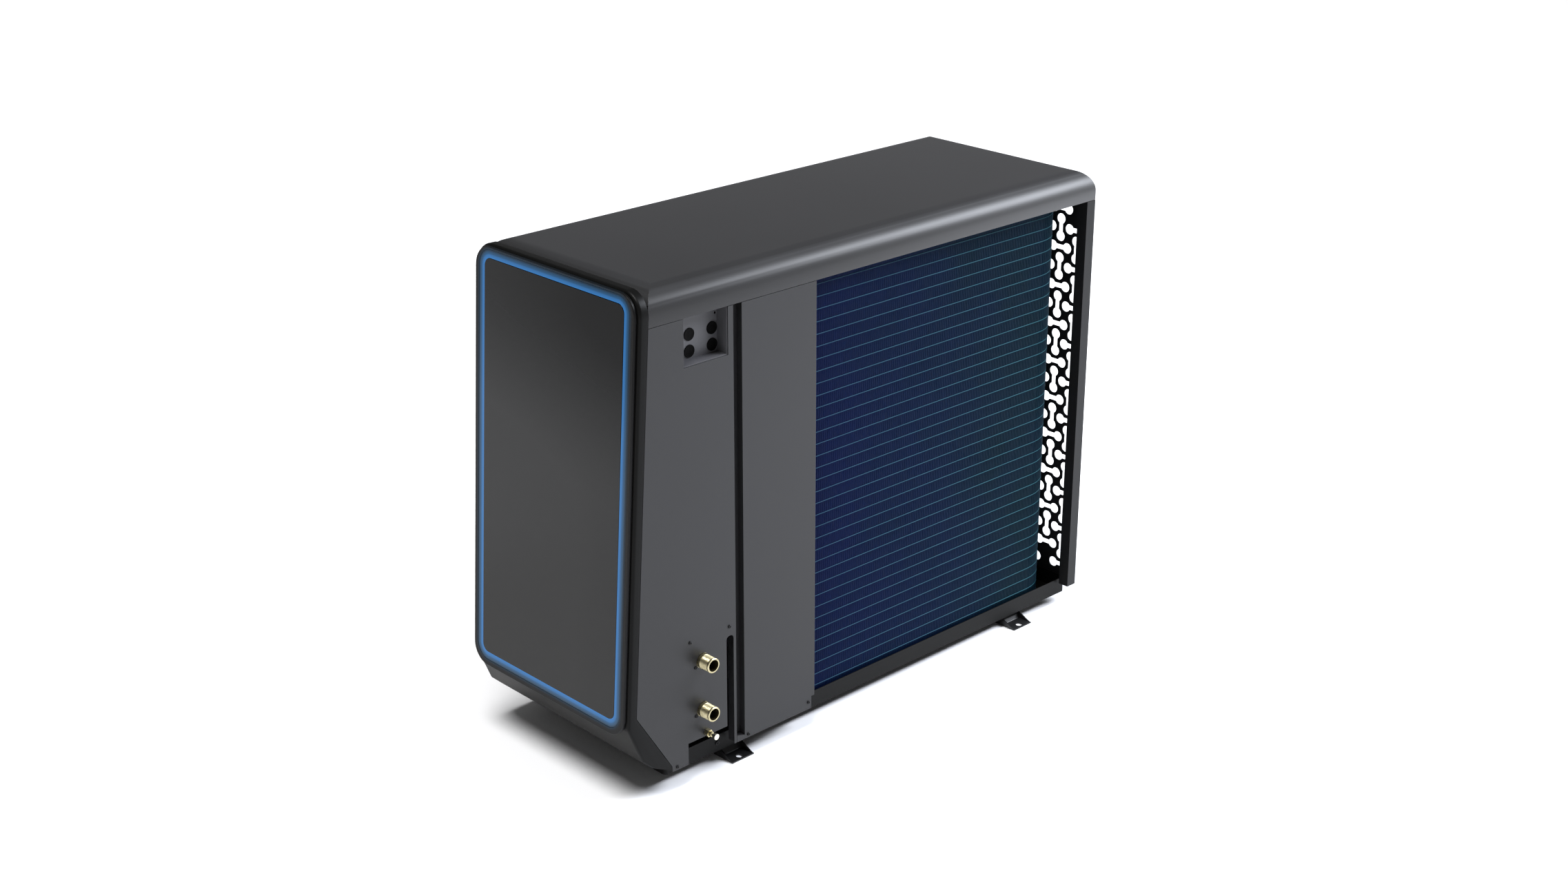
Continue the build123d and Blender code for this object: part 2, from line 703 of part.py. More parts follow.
with BuildPart() as fan_blades:
    with BuildSketch(fan_axis.offset(hub_front)):
        Circle(hub_radius)
    extrude(amount=hub_length)
    fillet(fan_blades.faces().sort_by(Axis.X)[0].edges(), radius=12)
    for index in range(blade_count):
        add(single_blade.part.rotate(Axis((0, fan_y, fan_z), (1, 0, 0)),
                                     index * 360 / blade_count))
    with BuildSketch(fan_axis.offset(hub_front + 6)):
        Circle(shaft_radius + running_fit)
    extrude(amount=hub_length, mode=Mode.SUBTRACT)
    with BuildSketch(fan_axis.offset(hub_front)):
        Circle(16)
    extrude(amount=10, mode=Mode.SUBTRACT)
write_piece(fan_blades.part, "fan_blades")

with BuildPart() as fan_shaft:
    with BuildSketch(fan_axis.offset(hub_front + 2)):
        Circle(shaft_radius)
    extrude(amount=shaft_end - hub_front - 2)
write_piece(fan_shaft.part, "fan_shaft")

with BuildPart() as fan_nut:
    with BuildSketch(fan_axis.offset(hub_front + 3)):
        RegularPolygon(10, 6)
        Circle(shaft_radius + running_fit, mode=Mode.SUBTRACT)
    extrude(amount=7)
write_piece(fan_nut.part, "fan_nut")

with BuildPart() as fan_motor:
    with BuildSketch(fan_axis.offset(motor_front)):
        Circle(motor_radius)
    extrude(amount=motor_length)
    fillet(fan_motor.edges().filter_by(GeomType.CIRCLE), radius=6)
    with BuildSketch(fan_axis.offset(motor_front - 8)):
        Circle(20)
    extrude(amount=8)
    with BuildSketch(fan_axis.offset(motor_front - 8)):
        Circle(shaft_radius + running_fit)
    extrude(amount=shaft_end - motor_front + 10, mode=Mode.SUBTRACT)
write_piece(fan_motor.part, "fan_motor")

bracket_x = -skin_x + motor_front + motor_length
post_top_z = unit_height - sheet - fit
post_width = 20.0
post_depth = 15.0
bracket_plate = 2.0

with BuildPart() as motor_bracket:
    with Locations((bracket_x + bracket_plate / 2, fan_y, fan_z)):
        Box(bracket_plate, 170, 120)
    for side in (-1, 1):
        with Locations((bracket_x + bracket_plate + post_depth / 2, fan_y + side * 75,
                        (tray_floor_z + post_top_z) / 2)):
            Box(post_depth, post_width, post_top_z - tray_floor_z)
write_piece(motor_bracket.part, "motor_bracket")

# ------------------------------------------------------------- compressor
compressor_radius = 60.0
mount_height = 34.0
mount_radius = 14.0
stud_radius = 4.0
foot_z = tray_floor_z + mount_height
foot_thickness = 4.0
compressor_top_z = 330.0
stub_radius = pipe_radius + 1

with BuildPart() as compressor_shell:
    with BuildSketch(Plane.XY.offset(foot_z + foot_thickness)):
        with Locations((compressor_x, compressor_y)):
            Circle(compressor_radius)
    extrude(amount=compressor_top_z - foot_z - foot_thickness)
    fillet(compressor_shell.faces().sort_by(Axis.Z)[-1].edges(), radius=34)

with BuildPart() as compressor:
    with BuildSketch(Plane.XY.offset(foot_z)):
        with Locations((compressor_x, compressor_y)):
            Circle(compressor_radius)
        with Locations(*stud_places):
            Circle(mount_radius + 2)
        make_hull()
        with Locations(*stud_places):
            Circle(stud_radius + 0.5, mode=Mode.SUBTRACT)
    extrude(amount=foot_thickness)
    add(compressor_shell.part)
    with BuildSketch(Plane.XY.offset(compressor_top_z - 8)):
        with Locations((compressor_x, compressor_y)):
            Circle(stub_radius)
    extrude(amount=28)
write_piece(compressor.part, "compressor")

with BuildPart() as compressor_mounts:
    with BuildSketch(Plane.XY.offset(tray_floor_z)):
        with Locations(*stud_places):
            Circle(mount_radius)
        with Locations(*stud_places):
            Circle(stud_radius + 0.5, mode=Mode.SUBTRACT)
    extrude(amount=mount_height)
write_piece(compressor_mounts.part, "compressor_mounts")

with BuildPart() as compressor_bolts:
    with BuildSketch(Plane.XY.offset(tray_floor_z)):
        with Locations(*stud_places):
            Circle(stud_radius)
    extrude(amount=mount_height + foot_thickness + 10)
    with BuildSketch(Plane.XY.offset(foot_z + foot_thickness)):
        with Locations(*stud_places):
            RegularPolygon(7, 6)
    extrude(amount=6)
write_piece(compressor_bolts.part, "compressor_bolts")

terminal_y = compressor_y + 28
with BuildPart() as compressor_terminal_cap:
    with Locations((compressor_x - 18, terminal_y, compressor_top_z + 10)):
        Box(34, 30, 20)
    chamfer(compressor_terminal_cap.edges().filter_by(Axis.Z), length=5)
    add(compressor_shell.part, mode=Mode.SUBTRACT)
write_piece(compressor_terminal_cap.part, "compressor_terminal_cap")

# ------------------------------------------------------------- accumulator
accumulator_radius = 28.0
accumulator_x = compressor_x + compressor_radius + accumulator_radius + 6
accumulator_bottom_z = 110.0
accumulator_top_z = 300.0
elbow_z = 84.0


def pipe(points, bend, radius=pipe_radius):
    """Round copper pipe along straight runs joined by tangent arcs."""
    with BuildPart() as run:
        with BuildLine() as route:
            FilletPolyline(*points, radius=bend)
        start = Vector(*points[0])
        with BuildSketch(Plane(origin=start, z_dir=Vector(*points[1]) - start)):
            Circle(radius)
        sweep(path=route.wire())
    return run.part


suction_elbow = pipe([(accumulator_x, compressor_y, accumulator_bottom_z + 5),
                      (accumulator_x, compressor_y, elbow_z),
                      (compressor_x + compressor_radius + 0.3, compressor_y, elbow_z)], 14, 7)

with BuildPart() as accumulator:
    with BuildSketch(Plane.XY.offset(accumulator_bottom_z)):
        with Locations((accumulator_x, compressor_y)):
            Circle(accumulator_radius)
    extrude(amount=accumulator_top_z - accumulator_bottom_z)
    fillet(accumulator.edges().filter_by(GeomType.CIRCLE), radius=12)
    with BuildSketch(Plane.XY.offset(accumulator_top_z)):
        with Locations((accumulator_x, compressor_y)):
            Circle(stub_radius)
    extrude(amount=20)
    add(suction_elbow)
write_piece(accumulator.part, "accumulator")


# ------------------------------------------------------------- four-way valve
valve_y = -470.0
valve_z = 440.0
valve_radius = 14.0
valve_length = 96.0
port_reach = 16.0
port_spacing = 30.0

with BuildPart() as four_way_valve:
    with BuildSketch(Plane.YZ.offset(compressor_x - valve_length / 2)):
        with Locations((valve_y, valve_z)):
            Circle(valve_radius)
    extrude(amount=valve_length)
    with BuildSketch(Plane.XY.offset(valve_z)):
        with Locations((compressor_x, valve_y)):
            Circle(stub_radius)
    extrude(amount=valve_radius + port_reach)
    with BuildSketch(Plane.XY.offset(valve_z - valve_radius - port_reach)):
        with Locations((compressor_x, valve_y)):
            with GridLocations(port_spacing, 1, 3, 1):
                Circle(stub_radius)
    extrude(amount=valve_radius + port_reach)
write_piece(four_way_valve.part, "four_way_valve")

with BuildPart() as valve_solenoid:
    with BuildSketch(Plane.XZ.offset(-valve_y - valve_radius + 1)):
        with Locations((compressor_x, valve_z)):
            Rectangle(40, 30)
    extrude(amount=-26)
    fillet(valve_solenoid.edges().filter_by(Axis.Y), radius=5)
    add(four_way_valve.part, mode=Mode.SUBTRACT)
write_piece(valve_solenoid.part, "valve_solenoid")

# ------------------------------------------------------------- water heat exchanger
boss_face_x = half_width - 60.0
boss_reach = 15.0
exchanger_y = -440.0
exchanger_radius = 75.0
exchanger_x = boss_face_x - boss_reach - exchanger_radius
exchanger_wall = 4.0
exchanger_bottom_z = 41.0
exchanger_top_z = 436.0
cap_height = 14.0
core_radius = 42.0
coil_tube_radius = 6.0
coil_turns = 12
gas_port = -60.0
liquid_port = 40.0

with BuildPart() as exchanger_stand:
    with BuildSketch(Plane.XY.offset(tray_floor_z)):
        with Locations((exchanger_x, exchanger_y)):
            Circle(exchanger_radius - 3)
            Circle(exchanger_radius - 12, mode=Mode.SUBTRACT)
    extrude(amount=exchanger_bottom_z - tray_floor_z)
write_piece(exchanger_stand.part, "exchanger_stand")

water_ports = [(nipple_y, inlet_z, 20.0, nipple_bore_radius),
               (nipple_y, outlet_z, 20.0, nipple_bore_radius),
               (drain_y, drain_z, 9.0, 3.0)]

with BuildPart() as exchanger_shell:
    with BuildSketch(Plane.XY.offset(exchanger_bottom_z)):
        with Locations((exchanger_x, exchanger_y)):
            Circle(exchanger_radius)
    extrude(amount=exchanger_top_z - exchanger_bottom_z)
    for port_y, port_z, boss_radius, bore in water_ports:
        with BuildSketch(Plane.YZ.offset(exchanger_x + exchanger_radius - boss_reach)):
            with Locations((port_y, port_z)):
                Circle(boss_radius)
        extrude(amount=2 * boss_reach)
    with BuildSketch(Plane.XY.offset(exchanger_bottom_z + exchanger_wall)):
        with Locations((exchanger_x, exchanger_y)):
            Circle(exchanger_radius - exchanger_wall)
    extrude(amount=exchanger_top_z - exchanger_bottom_z, mode=Mode.SUBTRACT)
    for port_y, port_z, boss_radius, bore in water_ports:
        with BuildSketch(Plane.YZ.offset(exchanger_x + exchanger_radius - boss_reach - 5)):
            with Locations((port_y, port_z)):
                Circle(bore)
        extrude(amount=2 * boss_reach + 5, mode=Mode.SUBTRACT)
write_piece(exchanger_shell.part, "exchanger_shell")

with BuildPart() as exchanger_cap:
    with BuildSketch(Plane.XY.offset(exchanger_top_z)):
        with Locations((exchanger_x, exchanger_y)):
            Circle(exchanger_radius + 3)
    extrude(amount=cap_height)
    fillet(exchanger_cap.faces().sort_by(Axis.Z)[-1].edges(), radius=4)
    with BuildSketch(Plane.XY.offset(exchanger_top_z)):
        with Locations((exchanger_x, exchanger_y + gas_port),
                       (exchanger_x, exchanger_y + liquid_port)):
            Circle(stub_radius + 2)
    extrude(amount=cap_height + 12)
write_piece(exchanger_cap.part, "exchanger_cap")

with BuildPart() as exchanger_core:
    with BuildSketch(Plane.XY.offset(exchanger_bottom_z + exchanger_wall)):
        with Locations((exchanger_x, exchanger_y)):
            Circle(core_radius)
            Circle(core_radius - 3, mode=Mode.SUBTRACT)
    extrude(amount=exchanger_top_z - exchanger_bottom_z - exchanger_wall)
write_piece(exchanger_core.part, "exchanger_core")

turn_radius = core_radius + coil_tube_radius + 0.3
turn_pitch = (exchanger_top_z - exchanger_bottom_z - 60) / coil_turns

with BuildPart() as exchanger_coil:
    for turn in range(coil_turns):
        turn_z = exchanger_bottom_z + 40 + turn * turn_pitch
        with BuildSketch(Plane(origin=(exchanger_x, exchanger_y, turn_z), x_dir=(1, 0, 0),
                               z_dir=(0, -1, 0))):
            with Locations((turn_radius, 0)):
                Circle(coil_tube_radius)
        revolve(axis=Axis((exchanger_x, exchanger_y, turn_z), (0, 0, 1)))
write_piece(exchanger_coil.part, "exchanger_coil")

# ------------------------------------------------------------- water nipples and lock nuts
nipple_end_x = half_width + nipple_reach
nut_thickness = 8.0
thread_pitch = 1.8
thread_depth = 0.7
shoulder_x = half_width + 1.0
thread_start_x = half_width + 6.0
nut_radius = nipple_shank_radius + 5.4


def water_nipple(z):
    """Male-thread stub: shank, shoulder outside the panel, then V rings to the free end."""
    rings = int((nipple_end_x - 1.5 - thread_start_x) // thread_pitch)
    with BuildPart() as nipple:
        with BuildSketch(Plane(origin=(0, nipple_y, z), x_dir=(1, 0, 0), z_dir=(0, -1, 0))):
            with BuildLine():
                valleys = []
                for ring in range(rings):
                    x = thread_start_x + ring * thread_pitch
                    valleys += [(x, nipple_radius),
                                (x + thread_pitch / 2, nipple_radius - thread_depth)]
                Polyline(
                    (boss_face_x, nipple_bore_radius), (boss_face_x, nipple_shank_radius),
                    (shoulder_x, nipple_shank_radius), (shoulder_x, nipple_radius), *valleys,
                    (thread_start_x + rings * thread_pitch, nipple_radius),
                    (nipple_end_x - 0.8, nipple_radius), (nipple_end_x, nipple_radius - 0.8),
                    (nipple_end_x, nipple_bore_radius), close=True,
                )
            make_face()
        revolve(axis=Axis((0, nipple_y, z), (1, 0, 0)))
    return nipple.part


write_piece(water_nipple(inlet_z), "water_inlet")
write_piece(water_nipple(outlet_z), "water_outlet")

with BuildPart() as lock_nuts:
    with BuildSketch(Plane.YZ.offset(skin_x - nut_thickness)):
        with Locations((nipple_y, inlet_z), (nipple_y, outlet_z)):
            RegularPolygon(nut_radius, 6)
        with Locations((nipple_y, inlet_z), (nipple_y, outlet_z)):
            Circle(nipple_shank_radius + running_fit, mode=Mode.SUBTRACT)
    extrude(amount=nut_thickness)
write_piece(lock_nuts.part, "lock_nuts")

# ------------------------------------------------------------- drain valve
drain_hex_radius = 7.0
drain_hex_length = 8.0
stem_radius = 2.5
stem_end_x = half_width + 25.0
knob_radius = 5.5
knob_length = 6.0

with BuildPart() as drain_valve:
    with BuildSketch(Plane.YZ.offset(boss_face_x)):
        with Locations((drain_y, drain_z)):
            Circle(drain_body_radius)
    extrude(amount=half_width - boss_face_x)
    with BuildSketch(Plane.YZ.offset(half_width)):
        with Locations((drain_y, drain_z)):
            RegularPolygon(drain_hex_radius, 6)
    extrude(amount=drain_hex_length)
    with BuildSketch(Plane.YZ.offset(half_width + drain_hex_length)):
        with Locations((drain_y, drain_z)):
            Circle(4.4)
    extrude(amount=5)
    with BuildSketch(Plane.YZ.offset(half_width - 5)):
        with Locations((drain_y, drain_z)):
            Circle(stem_radius + running_fit)
    extrude(amount=drain_hex_length + 10, mode=Mode.SUBTRACT)
write_piece(drain_valve.part, "drain_valve")

with BuildPart() as drain_knob:
    with BuildSketch(Plane.YZ.offset(half_width - 4)):
        with Locations((drain_y, drain_z)):
            Circle(stem_radius)
    extrude(amount=stem_end_x - half_width + 2)
    with BuildSketch(Plane.YZ.offset(stem_end_x - knob_length)):
        with Locations((drain_y, drain_z)):
            Circle(knob_radius)
            with PolarLocations(knob_radius, 12):
                Circle(0.7, mode=Mode.SUBTRACT)
    extrude(amount=knob_length)
write_piece(drain_knob.part, "drain_knob")

# ------------------------------------------------------------- expansion valve and pipes
expansion_x = port_x - 39.5
expansion_y = -290.0
expansion_z = 470.0
expansion_radius = 14.0

with BuildPart() as expansion_valve:
    with BuildSketch(Plane.XY.offset(expansion_z)):
        with Locations((expansion_x, expansion_y)):
            Circle(expansion_radius)
    extrude(amount=60)
    fillet(expansion_valve.faces().sort_by(Axis.Z)[-1].edges(), radius=3)
    with BuildSketch(Plane.XY.offset(expansion_z - 15)):
        with Locations((expansion_x, expansion_y)):
            Circle(stub_radius)
    extrude(amount=15)
    with BuildSketch(Plane.XZ.offset(-expansion_y)):
        with Locations((expansion_x, expansion_z + 15)):
            Circle(stub_radius)
    extrude(amount=expansion_radius + 11)
write_piece(expansion_valve.part, "expansion_valve")

port_bottom_z = valve_z - valve_radius - port_reach
pipe_level = first_row_z + gas_row * row_pitch
liquid_level = first_row_z + liquid_row * row_pitch
coil_face_y = coil_front_y - sheet
side_port_y = expansion_y - expansion_radius - 11
cap_stub_z = exchanger_top_z + cap_height + 12

write_piece(pipe([(compressor_x, compressor_y, compressor_top_z + 20),
                  (compressor_x, compressor_y, 520),
                  (compressor_x, valve_y, 520),
                  (compressor_x, valve_y, valve_z + valve_radius + port_reach)], 24),
            "discharge_pipe")
write_piece(pipe([(compressor_x, valve_y, port_bottom_z), (compressor_x, valve_y, pipe_level),
                  (accumulator_x, compressor_y, pipe_level),
                  (accumulator_x, compressor_y, accumulator_top_z + 20)], 12), "suction_pipe")
condenser_x = compressor_x + port_spacing
condenser_y = exchanger_y + gas_port
write_piece(pipe([(condenser_x, valve_y, port_bottom_z),
                  (condenser_x, valve_y, port_bottom_z - 22),
                  (condenser_x, condenser_y, port_bottom_z - 22),
                  (condenser_x, condenser_y, 490),
                  (exchanger_x, condenser_y, 490), (exchanger_x, condenser_y, cap_stub_z)],
                 10), "condenser_pipe")
write_piece(pipe([(compressor_x - port_spacing, valve_y, port_bottom_z),
                  (compressor_x - port_spacing, valve_y, pipe_level),
                  (compressor_x - port_spacing - 62, valve_y, pipe_level),
                  (compressor_x - port_spacing - 62, partition_y - 19, pipe_level),
                  (port_x, partition_y - 19, pipe_level),
                  (port_x, coil_face_y, pipe_level)], 12), "evaporator_pipe")
liquid_y = exchanger_y + liquid_port
expansion_port_z = expansion_z + 15
write_piece(pipe([(exchanger_x, liquid_y, cap_stub_z), (exchanger_x, liquid_y, expansion_port_z),
                  (expansion_x, liquid_y, expansion_port_z),
                  (expansion_x, side_port_y, expansion_port_z)], 10), "liquid_line")
write_piece(pipe([(expansion_x, expansion_y, expansion_z - 15),
                  (expansion_x, expansion_y, liquid_level), (port_x, expansion_y, liquid_level),
                  (port_x, coil_face_y, liquid_level)], 14), "injection_pipe")

# ------------------------------------------------------------- electrical box
box_low_z = unit_height - 322.0
box_height = 175.0
box_width = 300.0
box_front_y = -530.0
box_mid_y = (box_front_y + partition_y) / 2
box_depth = partition_y - box_front_y
box_floor_z = box_low_z + sheet
board_z = box_floor_z + 12
board_x = -20.0
board_y = -400.0
board_size = (220.0, 150.0)

with BuildPart() as electrical_box:
    with Locations((0, box_mid_y, box_low_z + box_height / 2)):
        Box(box_width, box_depth, box_height)
    with Locations((0, box_mid_y, box_low_z + box_height / 2 + sheet)):
        Box(box_width - 2 * sheet, box_depth - 2 * sheet, box_height, mode=Mode.SUBTRACT)
    with BuildSketch(Plane.XY.offset(box_floor_z)):
        with Locations((board_x, board_y)):
            with GridLocations(board_size[0] - 14, board_size[1] - 14, 2, 2):
                Circle(4)
    extrude(amount=board_z - box_floor_z)
write_piece(electrical_box.part, "electrical_box")

lid_z = box_low_z + box_height
with BuildPart() as electrical_lid:
    with Locations((0, box_mid_y, lid_z + sheet / 2)):
        Box(box_width + 4, box_depth - 1, sheet)
write_piece(electrical_lid.part, "electrical_lid")

with BuildPart() as control_board:
    with Locations((board_x, board_y, board_z + 0.8)):
        Box(*board_size, 1.6)
write_piece(control_board.part, "control_board")

with BuildPart() as board_capacitors:
    with BuildSketch(Plane.XY.offset(board_z + 1.6)):
        with Locations((board_x - 60, board_y + 30), (board_x - 20, board_y + 30)):
            Circle(15)
    extrude(amount=50)
    fillet(board_capacitors.faces().group_by(Axis.Z)[-1].edges(), radius=2)
write_piece(board_capacitors.part, "board_capacitors")

with BuildPart() as heat_sink:
    with Locations((board_x + 55, board_y - 20, board_z + 1.6 + 3)):
        Box(70, 80, 6)
    with Locations((board_x + 55, board_y - 20, board_z + 1.6 + 6 + 15)):
        with GridLocations(8, 1, 8, 1):
            Box(2.5, 80, 30)
write_piece(heat_sink.part, "heat_sink")

with BuildPart() as reactor:
    with Locations((90, -270, box_floor_z + 25)):
        Box(70, 50, 50)
    with Locations((90, -270, box_floor_z + 25)):
        Box(46, 66, 34)
write_piece(reactor.part, "reactor")

with BuildPart() as terminal_block:
    with Locations((95, -430, lid_z + sheet + 11)):
        Box(34, 110, 22)
    with Locations((95, -430, lid_z + sheet + 22)):
        with GridLocations(1, 17, 1, 6):
            Box(20, 11, 12, mode=Mode.SUBTRACT)
write_piece(terminal_block.part, "terminal_block")
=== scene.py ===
# %% [markdown]
# # Pool heat pump unit
# The cabinet, coil, fan and pipes come from the imported CAD model, which holds every size and place.
# This file gives them light, finishes and the fine shapes that sheet metal, fins, rubber and brass have.
# The CAD box is measured first, and the box of the finished scene is printed at the end. The CAD box is
# measured first, because nothing made here may reach outside it.

# %% Load the frame
import json
import math

import bpy
from mathutils import Matrix, Vector


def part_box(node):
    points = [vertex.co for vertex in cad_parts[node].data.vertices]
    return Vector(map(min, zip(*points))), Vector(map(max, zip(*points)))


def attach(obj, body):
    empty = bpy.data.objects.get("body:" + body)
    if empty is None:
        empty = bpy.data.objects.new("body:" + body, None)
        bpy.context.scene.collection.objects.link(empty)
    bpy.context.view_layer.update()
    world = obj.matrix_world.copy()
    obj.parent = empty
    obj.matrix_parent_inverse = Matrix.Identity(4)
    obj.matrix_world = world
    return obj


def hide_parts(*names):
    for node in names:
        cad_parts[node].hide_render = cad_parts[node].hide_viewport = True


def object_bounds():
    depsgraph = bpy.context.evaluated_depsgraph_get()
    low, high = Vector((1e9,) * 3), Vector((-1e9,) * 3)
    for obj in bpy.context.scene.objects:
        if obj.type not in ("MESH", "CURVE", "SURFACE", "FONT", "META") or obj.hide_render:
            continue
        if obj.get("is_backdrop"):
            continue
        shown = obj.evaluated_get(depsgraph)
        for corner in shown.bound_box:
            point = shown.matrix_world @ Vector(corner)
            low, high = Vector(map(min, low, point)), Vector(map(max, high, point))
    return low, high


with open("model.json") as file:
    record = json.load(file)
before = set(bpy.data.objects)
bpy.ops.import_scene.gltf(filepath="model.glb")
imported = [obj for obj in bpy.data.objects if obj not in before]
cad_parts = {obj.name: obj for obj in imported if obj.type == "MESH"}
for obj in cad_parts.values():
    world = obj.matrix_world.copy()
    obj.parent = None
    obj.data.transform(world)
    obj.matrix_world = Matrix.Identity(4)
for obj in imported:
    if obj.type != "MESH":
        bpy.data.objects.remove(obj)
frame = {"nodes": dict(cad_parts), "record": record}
cad_low, cad_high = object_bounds()
print("CAD box from", [round(v, 4) for v in cad_low], "to", [round(v, 4) for v in cad_high])

# %% [markdown]
# ## Small helpers
# Blender works in metres, and a maker thinks in millimetres, so MM turns one into the other.
# An operator works on whatever is selected, so `pick` first deselects everything else.
# `choose` opens edit mode and selects the faces or edges that the next operator needs, by a test on
# their place or direction, which is what a hand with a mouse would do.

# %% Selecting and editing
MM = 0.001
MERGE_DISTANCE = 0.01 * MM


def pick(piece):
    """Select one object alone and make it active."""
    if bpy.context.mode != "OBJECT":
        bpy.ops.object.mode_set(mode="OBJECT")
    bpy.ops.object.select_all(action="DESELECT")
    piece.select_set(True)
    bpy.context.view_layer.objects.active = piece
    return piece


def choose(piece, kind, test):
    """In edit mode, select only the faces, edges or vertices that pass a test on their middle."""
    bpy.ops.object.mode_set(mode="OBJECT")
    mesh = piece.data
    for group in (mesh.polygons, mesh.edges, mesh.vertices):
        group.foreach_set("select", [False] * len(group))
    count = 0
    for part in getattr(mesh, kind):
        if test(part):
            part.select = True
            count += 1
    bpy.ops.object.mode_set(mode="EDIT")
    mode = {"polygons": "FACE", "edges": "EDGE", "vertices": "VERT"}[kind]
    bpy.context.tool_settings.mesh_select_mode = (mode == "VERT", mode == "EDGE", mode == "FACE")
    return count


def corners(piece, edge):
    """The two end points of an edge."""
    return [piece.data.vertices[i].co for i in edge.vertices]


def primitive(kind, name, at=(0, 0, 0), **shape):
    """Add a primitive, name it, and put its place into its mesh."""
    bpy.ops.object.select_all(action="DESELECT")
    getattr(bpy.ops.mesh, f"primitive_{kind}_add")(location=at, **shape)
    piece = bpy.context.object
    piece.name = name
    bpy.ops.object.transform_apply(location=True, rotation=True, scale=True)
    return piece


def modify(piece, kind, **options):
    """Add a modifier with its options and apply it at once."""
    pick(piece)
    modifier = piece.modifiers.new(kind.lower(), kind)
    for option, value in options.items():
        setattr(modifier, option, value)
    bpy.ops.object.modifier_apply(modifier=modifier.name)


def join(pieces, name):
    """Join pieces into one named object."""
    bpy.ops.object.select_all(action="DESELECT")
    for piece in pieces:
        piece.select_set(True)
    bpy.context.view_layer.objects.active = pieces[0]
    bpy.ops.object.join()
    pieces[0].name = name
    return pieces[0]


def copy_moved(piece, matrix):
    """A copy with its own mesh, moved by a matrix that goes into the mesh."""
    twin = piece.copy()
    twin.data = piece.data.copy()
    bpy.context.scene.collection.objects.link(twin)
    twin.data.transform(matrix)
    return twin


# %% [markdown]
# ## Standing in for a CAD node
# A CAD mesh is loose triangles, so a copy is welded and its flat triangles are dissolved into whole
# faces before a bevel can find its edges. Folded sheet is never knife-sharp: its edges are broken by
# a fraction of a millimetre, and that thin rounded line is what catches the light along a real panel.
# A bevel by angle rounds every sharp edge at once, and that is right for sheet metal.

# %% Welded copies with broken edges
FLAT_ANGLE = math.radians(0.5)
LARGE_FACE_WEIGHT = 90
slot_of = {part["node"]: part["material_slot"] for part in frame["record"]["subparts"]}
body_of = {node: body for body, nodes in frame["record"]["behaviour"]["bodies"].items()
           for node in nodes}


def stand_for(piece, node):
    """The piece rides where the CAD node rides and replaces it."""
    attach(piece, body_of[node])
    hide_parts(node)
    return piece


def welded(node, name):
    """A merged copy of a CAD node's mesh, with its flat areas as whole faces."""
    source = frame["nodes"][node]
    piece = bpy.data.objects.new(name, source.data.copy())
    bpy.context.scene.collection.objects.link(piece)
    piece.data.materials.clear()
    pick(piece)
    bpy.ops.mesh.customdata_custom_splitnormals_clear()
    bpy.ops.object.mode_set(mode="EDIT")
    bpy.ops.mesh.select_all(action="SELECT")
    bpy.ops.mesh.remove_doubles(threshold=MERGE_DISTANCE)
    bpy.ops.mesh.dissolve_limited(angle_limit=FLAT_ANGLE)
    bpy.ops.object.mode_set(mode="OBJECT")
    return piece


def smooth(piece, angle=35):
    """Smooth shading that keeps edges sharper than the angle."""
    pick(piece)
    bpy.ops.object.shade_smooth_by_angle(angle=math.radians(angle))


def formed(node, radius, steps=2, angle=40, piece=None):
    """A welded copy of a CAD node, or a piece made from one, with every sharp edge rounded."""
    piece = piece or welded(node, node + "_formed")
    modify(piece, "BEVEL", width=radius, segments=steps, limit_method="ANGLE",
           angle_limit=math.radians(angle))
    smooth(piece)
    modify(piece, "WEIGHTED_NORMAL", keep_sharp=True, weight=LARGE_FACE_WEIGHT)
    return stand_for(piece, node)


# %% [markdown]
# ## Colour and nodes
# Colours are written as the sRGB hex a paint card would give, and one function turns them to the
# linear values that Blender mixes. One more function adds any node with its options and its inputs.

# %% Colour and node helpers
def linear(colour):
    """sRGB hex to linear RGBA."""
    parts = [int(colour[i:i + 2], 16) / 255 for i in (1, 3, 5)]
    return (*[p / 12.92 if p <= 0.04045 else ((p + 0.055) / 1.055) ** 2.4 for p in parts], 1.0)


def add_node(tree, kind, options=None, inputs=None):
    """Add a node; options are its own settings, inputs are values or links for its sockets."""
    made = tree.nodes.new(kind)
    for name, value in (options or {}).items():
        setattr(made, name, value)
    for socket, value in (inputs or {}).items():
        if isinstance(value, bpy.types.NodeSocket):
            tree.links.new(value, made.inputs[socket])
        else:
            made.inputs[socket].default_value = value
    return made


def blank(name):
    """A new material with its tree, shader and object coordinates."""
    material = bpy.data.materials.new(name)
    material.use_nodes = True
    tree = material.node_tree
    tree.nodes.clear()
    shader = add_node(tree, "ShaderNodeBsdfPrincipled")
    add_node(tree, "ShaderNodeOutputMaterial", inputs={"Surface": shader.outputs["BSDF"]})
    place = add_node(tree, "ShaderNodeTexCoord").outputs["Object"]
    return material, tree, shader, place


